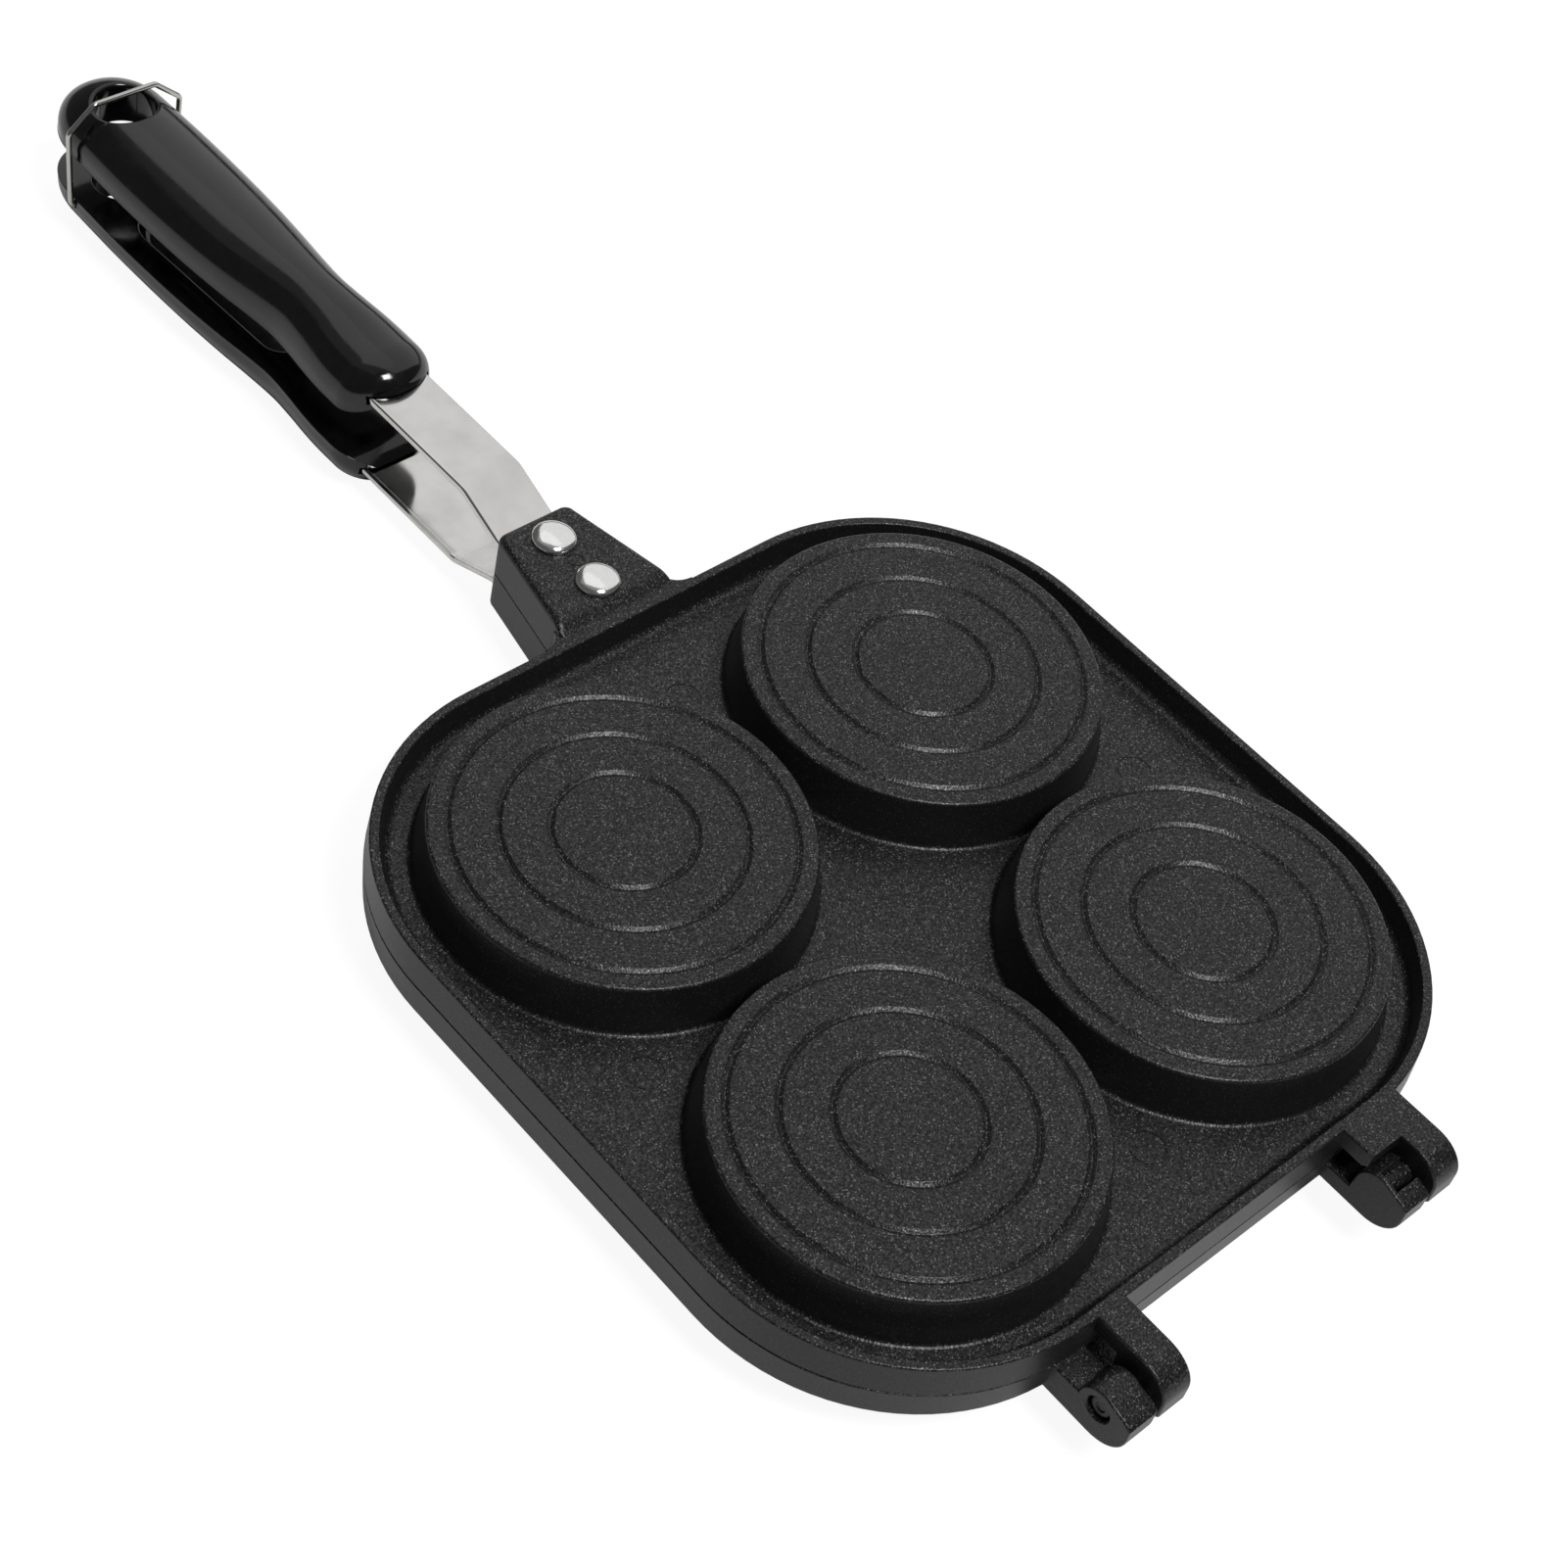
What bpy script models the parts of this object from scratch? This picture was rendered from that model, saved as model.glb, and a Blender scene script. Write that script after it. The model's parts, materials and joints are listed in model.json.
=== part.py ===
"""Double-sided frying pan with four round moulds in each half.

Two cast halves of one pattern, the lower one turned half a turn about Y, swing on two
hinge pins at the front. Each half carries a steel strap on two rivets and a moulded
grip, and a wire loop on the lower grip holds the upper grip down.

Metres, +Z up, +Y from the hinge towards the grips, origin under the middle of the
closed pan, level with its lowest point. Each half is modelled in a frame of its own:
its origin is the hinge axis, z = 0 is the plane where the halves meet, and +Z points
out of the half.
"""

import math

import bmesh
import bpy
from mathutils import Matrix, Vector

# Fits
SEAT_GAP = 0.0003
OVERRUN = 0.0010
MERGE = 0.00001

# Fineness of round shapes
ROUND_STEPS = 32
SMALL_STEPS = 20
EDGE_STEPS = 2
SHARP_ANGLE_DEG = 35

# Tray of a half: a rounded square dish whose floor carries the moulds
MOULD_TO_RIM = 0.0057
RIM_BULGE = 0.0004
LIP_HEIGHT = 0.0082
LIP_WIDTH = 0.0023
LIP_EDGE = 0.0005
WALL_DRAFT = 0.0008
FLOOR_TOP = 0.0020
CORNER_STEPS = 9

# Moulds: four hollow drums, open at the meeting plane
MOULD_BASE_RADIUS = 0.0418
MOULD_DRAFT = 0.0018
MOULD_GAP = 0.0012
MOULD_HEIGHT = 0.0140
MOULD_EDGE = 0.0012
MOULD_FILLET = 0.0010
MOULD_ROOF = 0.0021
CAVITY_WALL = 0.0013
CAVITY_DRAFT = 0.0026
CAVITY_EDGE = 0.0015
GROOVE_RADIUS_SHARES = (0.890, 0.635, 0.375)
GROOVE_WIDTH = 0.0014
GROOVE_DEPTH = 0.0004

# Hinge lugs: one holds a pin, the other takes the pin of the other half
AXIS_TO_RIM = 0.0114
PIN_RADIUS = 0.0025
PIN_CHAMFER = 0.0006
PIN_RECESS = 0.0008
PIN_LUG_INNER_X = 0.0320
PIN_LUG_OUTER_X = 0.0398
LUG_SIDE_GAP = 0.0012
SOCKET_LUG_WIDTH = 0.0080
BARREL_RADIUS = 0.0050
NOSE_REACH = 0.0076
NOSE_ROUND_HEIGHT = 0.0066
NOSE_TOE = 0.0020
NOSE_CHAMFER = 0.0011
LUG_DROP = 0.0001
LUG_ROOT = 0.0015
WEB_THICKNESS = 0.0047
WEB_FRONT = 0.0037
WEB_CHAMFER = 0.0012
PIN_LUG_NECK = 0.0054
PIN_BORE_END = 0.0012
SLOT_FRONT = 0.0038
SLOT_BACK = 0.0012
SLOT_CHEEK = 0.0010
NOSE_STEPS = 5
BARREL_STEPS = 7
BARREL_START_DEG = 240

# Socket block behind the tray, where the strap is riveted
BLOCK_TOP = 0.0106
BLOCK_REAR = 0.0312
BLOCK_FRONT_HALF = 0.0157
BLOCK_REAR_HALF = 0.0104
BLOCK_FLARE = 0.0052
BLOCK_FLARE_LENGTH = 0.0036
BLOCK_FLARE_STEPS = 4
BLOCK_EDGE = 0.0018
BLOCK_CORNER = 0.0016
CHANNEL_HEIGHT = 0.0067
CHANNEL_START = 0.0022

# Rivets
RIVET_HEAD_RADIUS = 0.0051
RIVET_HEAD_HEIGHT = 0.0023
RIVET_SHANK_RADIUS = 0.0020
RIVET_TAIL_RADIUS = 0.0031
RIVET_TAIL_HEIGHT = 0.0011
RIVET_FRONT = 0.0084
RIVET_PITCH = 0.0151
RIVET_DOME_STEPS = 4

# Strap: a channel of sheet steel, its edges turned towards the meeting plane
STRAP_HALF = 0.0082
STRAP_THICKNESS = 0.0012
STRAP_FLANGE = 0.0020
STRAP_BEND = 0.0008
STRAP_START = 0.0031
STRAP_RISE_START = 0.0325
STRAP_RISE_END = 0.0458
STRAP_HEIGHT = 0.0117
STRAP_INSET = 0.0356

# Grip: a half-round moulding, flat towards its partner
GRIP_START = 0.0770
GRIP_LENGTH = 0.1288
GRIP_HALF_WIDTH = 0.0143
GRIP_CROWN = 0.0190
GRIP_FLAT = 0.0060
GRIP_WIDEST = 0.0080
GRIP_NOSE_LENGTH = 0.0095
GRIP_NOSE_HEIGHT = 0.0125
GRIP_END_LENGTH = 0.0156
GRIP_SECTION_STEPS = 12
GRIP_DOME_POWER = 2.1
GRIP_EDGE_STEPS = 3
GRIP_NOSE_STEPS = 5
GRIP_NOSE_DEG = 72
GRIP_END_STEPS = 6
GRIP_END_DEG = 80
# Each row: place between nose and rounded end, half width and crown height
GRIP_SHARES = (
    (0.000, 0.860, 0.950),
    (0.063, 0.857, 0.965),
    (0.120, 0.825, 0.990),
    (0.189, 0.770, 1.000),
    (0.256, 0.742, 1.000),
    (0.333, 0.790, 0.980),
    (0.429, 0.874, 0.955),
    (0.545, 0.944, 0.940),
    (0.680, 0.986, 0.925),
    (0.816, 1.000, 0.910),
    (0.921, 0.986, 0.905),
    (1.000, 0.969, 0.900),
)
HANG_HOLE_RADIUS = 0.0078
HANG_HOLE_BACK = 0.0178
POCKET_DEPTH = 0.0045
POCKET_FRONT_RADIUS = 0.0053
POCKET_REAR_RADIUS = 0.0074
POCKET_START = 0.0401
POCKET_LENGTH = 0.0580
POCKET_STEPS = 6

# Lock wire on the lower grip
WIRE_RADIUS = 0.0007
WIRE_SIDE_GAP = 0.0004
WIRE_SHOULDER_DROP = 0.0062
WIRE_TOP_HALF = 0.0084
WIRE_SPLAY = 0.0007
WIRE_HOOK = 0.0030
WIRE_BEND_RADIUS = 0.0020
WIRE_BEND_STEPS = 3

# Sizes and places that follow from those above, each in the frame of a half
MOULD_TOP_RADIUS = MOULD_BASE_RADIUS - MOULD_DRAFT
MOULD_PITCH = 2 * MOULD_BASE_RADIUS + MOULD_GAP
RIM_HALF = MOULD_PITCH / 2 + MOULD_BASE_RADIUS + MOULD_TO_RIM + WALL_DRAFT + LIP_WIDTH
AXIS_TO_CENTRE = AXIS_TO_RIM + RIM_HALF
RIM_FRONT_Y = AXIS_TO_CENTRE - RIM_HALF
RIM_REAR_Y = AXIS_TO_CENTRE + RIM_HALF
SOCKET_INNER_X = PIN_LUG_OUTER_X + LUG_SIDE_GAP
SOCKET_OUTER_X = SOCKET_INNER_X + SOCKET_LUG_WIDTH
LUG_TOP = LIP_HEIGHT - LUG_DROP
BORE_RADIUS = PIN_RADIUS + SEAT_GAP
HALF_GAP = SEAT_GAP / 2
GRIP_END_Y = RIM_REAR_Y + GRIP_START + GRIP_LENGTH
HANG_HOLE_Y = GRIP_END_Y - HANG_HOLE_BACK
STRAP_LOW = CHANNEL_HEIGHT - SEAT_GAP

# Places in the world
HINGE_Y = (NOSE_REACH - GRIP_END_Y) / 2
MEETING_Z = GRIP_CROWN


def clear_scene():
    """Remove the objects and collections of the open scene."""
    for item in list(bpy.data.objects):
        bpy.data.objects.remove(item, do_unlink=True)
    for group in list(bpy.data.collections):
        bpy.data.collections.remove(group)


def new_collection(name):
    """Add a collection to the scene."""
    group = bpy.data.collections.new(name)
    bpy.context.scene.collection.children.link(group)
    return group


def new_material(name, colour, roughness, metallic):
    """Return a plain Principled material."""
    material = bpy.data.materials.new(name)
    material.use_nodes = True
    shader = material.node_tree.nodes["Principled BSDF"]
    shader.inputs["Base Color"].default_value = (*colour, 1.0)
    shader.inputs["Roughness"].default_value = roughness
    shader.inputs["Metallic"].default_value = metallic
    return material


def new_object(name, mesh, group, parent, material=None):
    """Link a mesh object under a parent whose frame it shares."""
    item = bpy.data.objects.new(name, mesh)
    group.objects.link(item)
    item.parent = parent
    if material:
        mesh.materials.append(material)
        mesh.shade_smooth()
        mesh.set_sharp_from_angle(angle=math.radians(SHARP_ANGLE_DEG))
    return item


def mesh_from(bm, name):
    """Turn an edited mesh into mesh data with its faces pointing out."""
    bmesh.ops.recalc_face_normals(bm, faces=bm.faces)
    mesh = bpy.data.meshes.new(name)
    bm.to_mesh(mesh)
    bm.free()
    return mesh


def box_mesh(name, low, high):
    """A box between two corners."""
    bm = bmesh.new()
    bmesh.ops.create_cube(bm, size=1.0)
    low = Vector(low)
    high = Vector(high)
    for vert in bm.verts:
        vert.co = Vector(l + (h - l) * (c + 0.5) for l, h, c in zip(low, high, vert.co))
    return mesh_from(bm, name)


def rod_mesh(name, start, end, radius, chamfer=0.0, steps=SMALL_STEPS):
    """A round rod from start to end, with chamfered ends if asked."""
    start = Vector(start)
    end = Vector(end)
    along = end - start
    bm = bmesh.new()
    bmesh.ops.create_cone(
        bm, cap_ends=True, segments=steps, radius1=radius, radius2=radius, depth=along.length
    )
    if chamfer:
        rims = [edge for edge in bm.edges if any(len(f.verts) > 4 for f in edge.link_faces)]
        bmesh.ops.bevel(bm, geom=rims, offset=chamfer, segments=1, profile=0.5, affect="EDGES")
    turn = along.to_track_quat("Z", "Y").to_matrix().to_4x4()
    bmesh.ops.transform(bm, matrix=Matrix.Translation((start + end) / 2) @ turn, verts=bm.verts)
    return mesh_from(bm, name)


def prism(outline, low, high, axis):
    """Pull a flat outline along X or Z from low to high."""
    bm = bmesh.new()
    corners = []
    for first, second in outline:
        place = (low, first, second) if axis == "X" else (first, second, low)
        corners.append(bm.verts.new(place))
    face = bm.faces.new(corners)
    pulled = bmesh.ops.extrude_face_region(bm, geom=[face])
    verts = [v for v in pulled["geom"] if isinstance(v, bmesh.types.BMVert)]
    reach = high - low
    bmesh.ops.translate(bm, vec=(reach, 0, 0) if axis == "X" else (0, 0, reach), verts=verts)
    return bm


def arc(centre, radii, start, end, steps):
    """Points on an ellipse between two angles in degrees."""
    points = []
    for step in range(steps + 1):
        angle = math.radians(start + (end - start) * step / steps)
        points.append((
            centre[0] + radii[0] * math.cos(angle),
            centre[1] + radii[1] * math.sin(angle),
        ))
    return points


def turned(name, profile, steps, group, parent, material=None):
    """A Screw modifier turns a profile of (radius, z) about Z, outer side downwards."""
    mesh = bpy.data.meshes.new(name)
    verts = [(radius, 0, z) for radius, z in profile]
    mesh.from_pydata(verts, [(i, i + 1) for i in range(len(verts) - 1)], [])
    item = new_object(name, mesh, group, parent, material)
    screw = item.modifiers.new("turn", "SCREW")
    screw.axis = "Z"
    screw.steps = steps
    screw.render_steps = steps
    screw.use_merge_vertices = True
    screw.merge_threshold = MERGE
    screw.use_smooth_shade = True
    return item


def combine(target, tool, operation):
    """Join a tool to its target, or cut it out, and keep it as a hidden guide."""
    tool.hide_render = True
    tool.display_type = "WIRE"
    change = target.modifiers.new(tool.name, "BOOLEAN")
    change.operation = operation
    change.solver = "EXACT"
    change.object = tool


def tray_mesh(name):
    """The dish of a half: a rounded block with a raised rim and a sunk floor."""
    low = box_mesh(
        name,
        (-RIM_HALF, RIM_FRONT_Y, HALF_GAP),
        (RIM_HALF, RIM_REAR_Y, LIP_HEIGHT),
    )
    bm = bmesh.new()
    bm.from_mesh(low)
    bpy.data.meshes.remove(low)
    corner_radius = RIM_HALF - MOULD_PITCH / 2
    posts = [e for e in bm.edges if abs(e.verts[0].co.z - e.verts[1].co.z) > FLOOR_TOP]
    bmesh.ops.bevel(
        bm, geom=posts, offset=corner_radius, segments=CORNER_STEPS, profile=0.5, affect="EDGES"
    )
    centre = Vector((0, AXIS_TO_CENTRE, 0))
    bulge = (RIM_HALF + RIM_BULGE) / RIM_HALF
    for vert in bm.verts:
        if vert.co.z < FLOOR_TOP:
            vert.co.xy = centre.xy + (vert.co.xy - centre.xy) * bulge
    bm.normal_update()
    lid = max(bm.faces, key=lambda f: f.calc_center_median().z)
    bmesh.ops.inset_region(bm, faces=[lid], thickness=LIP_EDGE)
    for vert in lid.verts:
        vert.co.z = LIP_HEIGHT
    outer = [v for v in bm.verts if v.co.z > FLOOR_TOP and v not in set(lid.verts)]
    for vert in outer:
        vert.co.z -= LIP_EDGE
    bmesh.ops.inset_region(bm, faces=[lid], thickness=LIP_WIDTH - LIP_EDGE)
    bmesh.ops.inset_region(bm, faces=[lid], thickness=WALL_DRAFT)
    for vert in lid.verts:
        vert.co.z = FLOOR_TOP
    return mesh_from(bm, name)


def mould_profile():
    """Outer side of a mould from its middle down to a foot inside the floor."""
    points = [(0, MOULD_HEIGHT)]
    for share in reversed(GROOVE_RADIUS_SHARES):
        radius = MOULD_TOP_RADIUS * share
        points += [
            (radius - GROOVE_WIDTH / 2, MOULD_HEIGHT),
            (radius, MOULD_HEIGHT - GROOVE_DEPTH),
            (radius + GROOVE_WIDTH / 2, MOULD_HEIGHT),
        ]
    edge = (MOULD_TOP_RADIUS - MOULD_EDGE, MOULD_HEIGHT - MOULD_EDGE)
    points += arc(edge, (MOULD_EDGE, MOULD_EDGE), 90, 0, EDGE_STEPS)
    foot = (MOULD_BASE_RADIUS + MOULD_FILLET, FLOOR_TOP + MOULD_FILLET)
    points += arc(foot, (MOULD_FILLET, MOULD_FILLET), 180, 270, EDGE_STEPS)
    points += [(MOULD_BASE_RADIUS + MOULD_FILLET, FLOOR_TOP / 2), (0, FLOOR_TOP / 2)]
    return points


def cavity_profile():
    """The hollow under a mould, from its roof down past the meeting plane."""
    mouth = MOULD_BASE_RADIUS - CAVITY_WALL
    roof_radius = mouth - CAVITY_DRAFT
    roof = MOULD_HEIGHT - MOULD_ROOF
    corner = (roof_radius - CAVITY_EDGE, roof - CAVITY_EDGE)
    points = [(0, roof)]
    points += arc(corner, (CAVITY_EDGE, CAVITY_EDGE), 90, 0, EDGE_STEPS)
    points += [(mouth, HALF_GAP), (mouth, -OVERRUN), (0, -OVERRUN)]
    return points


def lug_outline(root):
    """Side view of a lug as (y, z): nose, barrel on the meeting side, then its root."""
    nose_centre = (0, LUG_TOP - NOSE_ROUND_HEIGHT)
    nose = arc(nose_centre, (NOSE_REACH, NOSE_ROUND_HEIGHT), 90, 180, NOSE_STEPS)
    toe = [
        (-NOSE_REACH, -NOSE_TOE),
        (NOSE_CHAMFER - NOSE_REACH, -NOSE_TOE - NOSE_CHAMFER),
    ]
    barrel = arc((0, 0), (BARREL_RADIUS, BARREL_RADIUS), BARREL_START_DEG, 360, BARREL_STEPS)
    return [(RIM_FRONT_Y + LUG_ROOT, LUG_TOP)] + nose + toe + barrel + root


def socket_lug_mesh(name):
    """The lug that takes the other half's pin: thick up to the meeting plane."""
    root = [(BARREL_RADIUS, HALF_GAP), (RIM_FRONT_Y + LUG_ROOT, HALF_GAP)]
    bm = prism(lug_outline(root), SOCKET_INNER_X, SOCKET_OUTER_X, "X")
    return mesh_from(bm, name)


def pin_lug_mesh(name):
    """The lug that holds a pin: thin at its root, where the other half's web lies."""
    under = LUG_TOP - WEB_THICKNESS
    root = [(PIN_LUG_NECK, under), (RIM_FRONT_Y + LUG_ROOT, under)]
    bm = prism(lug_outline(root), -PIN_LUG_OUTER_X, -PIN_LUG_INNER_X, "X")
    return mesh_from(bm, name)


def web_mesh(name):
    """The plate that ties the socket lug to the tray across the other half's pin lug."""
    under = LUG_TOP - WEB_THICKNESS
    outline = [
        (RIM_FRONT_Y + LUG_ROOT, LUG_TOP),
        (WEB_FRONT, LUG_TOP),
        (WEB_FRONT, under + WEB_CHAMFER),
        (WEB_FRONT + WEB_CHAMFER, under),
        (RIM_FRONT_Y + LUG_ROOT, under),
    ]
    bm = prism(outline, PIN_LUG_INNER_X, SOCKET_INNER_X + LUG_ROOT, "X")
    return mesh_from(bm, name)


def foot_mesh(name):
    """The plate, as high as the rim, that widens the socket block where it meets the tray."""
    front = RIM_REAR_Y + SEAT_GAP
    flare = (BLOCK_FRONT_HALF + BLOCK_FLARE, front + BLOCK_FLARE_LENGTH)
    side = [(BLOCK_FRONT_HALF + BLOCK_FLARE, RIM_REAR_Y - LUG_ROOT)]
    side += arc(flare, (BLOCK_FLARE, BLOCK_FLARE_LENGTH), 270, 180, BLOCK_FLARE_STEPS)
    side.append((BLOCK_REAR_HALF, front + BLOCK_FLARE_LENGTH))
    outline = side + [(-x, y) for x, y in reversed(side)]
    return mesh_from(prism(outline, HALF_GAP, LUG_TOP, "Z"), name)


def block_mesh(name):
    """The socket block: a tapering box with its top edge rounded."""
    front = RIM_REAR_Y - SEAT_GAP
    rear = RIM_REAR_Y + BLOCK_REAR
    side = [
        (BLOCK_FRONT_HALF, front),
        (BLOCK_REAR_HALF, rear - BLOCK_CORNER),
        (BLOCK_REAR_HALF - BLOCK_CORNER, rear),
    ]
    outline = side + [(-x, y) for x, y in reversed(side)]
    bm = prism(outline, HALF_GAP, BLOCK_TOP, "Z")
    rims = [e for e in bm.edges if all(v.co.z > BLOCK_TOP - MERGE for v in e.verts)]
    bmesh.ops.bevel(
        bm, geom=rims, offset=BLOCK_EDGE, segments=EDGE_STEPS, profile=0.5, affect="EDGES"
    )
    return mesh_from(bm, name)


def rivet_places():
    """The y of the front and the rear rivet."""
    front = RIM_REAR_Y + RIVET_FRONT
    return {"front": front, "rear": front + RIVET_PITCH}


def add_moulds(pan, tools):
    """Raise the four drums on the tray's floor and hollow them from below."""
    for column in (-1, 1):
        for row in (-1, 1):
            tag = f"{pan.name}_{column}_{row}"
            place = (column * MOULD_PITCH / 2, AXIS_TO_CENTRE + row * MOULD_PITCH / 2, 0)
            drum = turned(f"drum_{tag}", mould_profile(), ROUND_STEPS, tools, pan)
            drum.location = place
            combine(pan, drum, "UNION")
    for column in (-1, 1):
        for row in (-1, 1):
            tag = f"{pan.name}_{column}_{row}"
            place = (column * MOULD_PITCH / 2, AXIS_TO_CENTRE + row * MOULD_PITCH / 2, 0)
            hollow = turned(f"hollow_{tag}", cavity_profile(), ROUND_STEPS, tools, pan)
            hollow.location = place
            combine(pan, hollow, "DIFFERENCE")


def add_hinge(pan, tools):
    """Join both lugs and the web to the tray, then bore them."""
    for kind, maker in (("socket", socket_lug_mesh), ("pin", pin_lug_mesh), ("web", web_mesh)):
        name = f"{kind}_{pan.name}"
        combine(pan, new_object(name, maker(name), tools, pan), "UNION")
    name = f"socket_bore_{pan.name}"
    reach = (SOCKET_INNER_X - OVERRUN / 2, SOCKET_OUTER_X + OVERRUN)
    bore = rod_mesh(name, (reach[0], 0, 0), (reach[1], 0, 0), BORE_RADIUS)
    combine(pan, new_object(name, bore, tools, pan), "DIFFERENCE")
    name = f"pin_bore_{pan.name}"
    reach = (-PIN_LUG_OUTER_X - OVERRUN / 2, -PIN_LUG_INNER_X - PIN_BORE_END)
    bore = rod_mesh(name, (reach[0], 0, 0), (reach[1], 0, 0), BORE_RADIUS)
    combine(pan, new_object(name, bore, tools, pan), "DIFFERENCE")
    name = f"pin_slot_{pan.name}"
    slot = box_mesh(
        name,
        (-PIN_LUG_OUTER_X - OVERRUN / 2, -SLOT_FRONT, -BARREL_RADIUS - OVERRUN),
        (-PIN_LUG_INNER_X - SLOT_CHEEK, SLOT_BACK, 0),
    )
    combine(pan, new_object(name, slot, tools, pan), "DIFFERENCE")


def add_block(pan, tools):
    """Join the socket block and its foot, cut the strap's channel and drill the rivet holes."""
    for kind, maker in (("foot", foot_mesh), ("block", block_mesh)):
        name = f"{kind}_{pan.name}"
        combine(pan, new_object(name, maker(name), tools, pan), "UNION")
    name = f"channel_{pan.name}"
    width = STRAP_HALF + SEAT_GAP
    channel = box_mesh(
        name,
        (-width, RIM_REAR_Y + CHANNEL_START, -OVERRUN),
        (width, RIM_REAR_Y + BLOCK_REAR + OVERRUN, CHANNEL_HEIGHT),
    )
    combine(pan, new_object(name, channel, tools, pan), "DIFFERENCE")
    drill_rivet_holes(pan, tools)


def drill_rivet_holes(piece, tools):
    """Cut both rivet holes through a piece."""
    for place, y in rivet_places().items():
        name = f"rivet_hole_{place}_{piece.name}"
        radius = RIVET_SHANK_RADIUS + SEAT_GAP
        low = (0, y, HALF_GAP)
        high = (0, y, BLOCK_TOP + OVERRUN)
        hole = new_object(name, rod_mesh(name, low, high, radius), tools, piece)
        combine(piece, hole, "DIFFERENCE")


def add_pan(tag, group, tools, frame, material):
    """The casting of a half."""
    name = f"{tag}_pan"
    pan = new_object(name, tray_mesh(name), group, frame, material)
    add_moulds(pan, tools)
    add_hinge(pan, tools)
    add_block(pan, tools)
    return pan


def add_pin(tag, group, frame, material):
    """The pin that the half's own lug holds; it reaches into the other half's lug."""
    name = f"{tag}_hinge_pin"
    start = (-PIN_LUG_INNER_X - PIN_BORE_END - SEAT_GAP, 0, 0)
    end = (-SOCKET_OUTER_X + PIN_RECESS, 0, 0)
    mesh = rod_mesh(name, start, end, PIN_RADIUS, PIN_CHAMFER)
    return new_object(name, mesh, group, frame, material)


def add_rivets(tag, group, frame, material):
    """Two rivets: domed head on the block, shank through the strap, tail under it."""
    head = BLOCK_TOP + SEAT_GAP
    tail = STRAP_LOW - STRAP_THICKNESS - SEAT_GAP
    dome = arc((0, head), (RIVET_HEAD_RADIUS, RIVET_HEAD_HEIGHT), 90, 0, RIVET_DOME_STEPS)
    profile = dome + [
        (RIVET_SHANK_RADIUS, head),
        (RIVET_SHANK_RADIUS, tail),
        (RIVET_TAIL_RADIUS, tail),
        (RIVET_TAIL_RADIUS, tail - RIVET_TAIL_HEIGHT / 2),
        (RIVET_SHANK_RADIUS, tail - RIVET_TAIL_HEIGHT),
        (0, tail - RIVET_TAIL_HEIGHT),
    ]
    for place, y in rivet_places().items():
        rivet = turned(f"{tag}_rivet_{place}", profile, SMALL_STEPS, group, frame, material)
        rivet.location.y = y


def strap_path():
    """Corners of the strap's outer side as (y, z)."""
    return [
        (RIM_REAR_Y + STRAP_START, STRAP_LOW),
        (RIM_REAR_Y + STRAP_RISE_START, STRAP_LOW),
        (RIM_REAR_Y + STRAP_RISE_END, STRAP_HEIGHT),
        (RIM_REAR_Y + GRIP_START + STRAP_INSET, STRAP_HEIGHT),
    ]


def inward(path, index, depth):
    """Shift a corner of a path by depth towards the meeting plane, keeping the mitre."""
    here = Vector(path[index])
    before = (here - Vector(path[index - 1])).normalized() if index else None
    after = None
    if index + 1 < len(path):
        after = (Vector(path[index + 1]) - here).normalized()
    first = before or after
    second = after or before
    bisector = (first + second).normalized()
    down = Vector((bisector.y, -bisector.x))
    return here + down * depth / bisector.dot(first)


def add_strap(tag, group, tools, frame, material):
    """The channel-shaped strap: an open sheet swept along its path, then thickened."""
    name = f"{tag}_strap"
    path = strap_path()
    section = [
        (-STRAP_HALF, STRAP_FLANGE),
        (-STRAP_HALF, STRAP_BEND),
        (-STRAP_HALF + STRAP_BEND, 0),
        (STRAP_HALF - STRAP_BEND, 0),
        (STRAP_HALF, STRAP_BEND),
        (STRAP_HALF, STRAP_FLANGE),
    ]
    bm = bmesh.new()
    rows = []
    for index in range(len(path)):
        row = []
        for x, depth in section:
            y, z = inward(path, index, depth)
            row.append(bm.verts.new((x, y, z)))
        rows.append(row)
    for first, second in zip(rows, rows[1:]):
        for left in range(len(section) - 1):
            bm.faces.new((first[left], first[left + 1], second[left + 1], second[left]))
    mesh = mesh_from(bm, name)
    if mesh.polygons[2].normal.z < 0:
        mesh.flip_normals()
    strap = new_object(name, mesh, group, frame, material)
    sheet = strap.modifiers.new("sheet", "SOLIDIFY")
    sheet.thickness = STRAP_THICKNESS
    sheet.offset = -1
    sheet.use_even_offset = True
    drill_rivet_holes(strap, tools)
    return strap


def grip_section(y, half, crown, flat):
    """One cross-section: flat, rounded edges and a domed back."""
    corner = min(GRIP_WIDEST - GRIP_FLAT, half / 2)
    centre = (half - corner, GRIP_WIDEST)
    radii = (corner, GRIP_WIDEST - flat)
    points = arc(centre, radii, 270, 360, GRIP_EDGE_STEPS)
    for step in range(1, GRIP_SECTION_STEPS):
        angle = math.pi * step / GRIP_SECTION_STEPS
        across = math.cos(angle)
        up = math.sin(angle)
        power = 2 / GRIP_DOME_POWER
        x = half * math.copysign(abs(across) ** power, across)
        points.append((x, GRIP_WIDEST + (crown - GRIP_WIDEST) * up ** power))
    points += [(-x, z) for x, z in arc(centre, radii, 360, 270, GRIP_EDGE_STEPS)]
    return [(x, y, z) for x, z in points]


def nose_section(section, shrink):
    """Draw a cross-section together about the nose's height."""
    return [
        (x * shrink, y, GRIP_NOSE_HEIGHT + (z - GRIP_NOSE_HEIGHT) * shrink)
        for x, y, z in section
    ]


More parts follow.
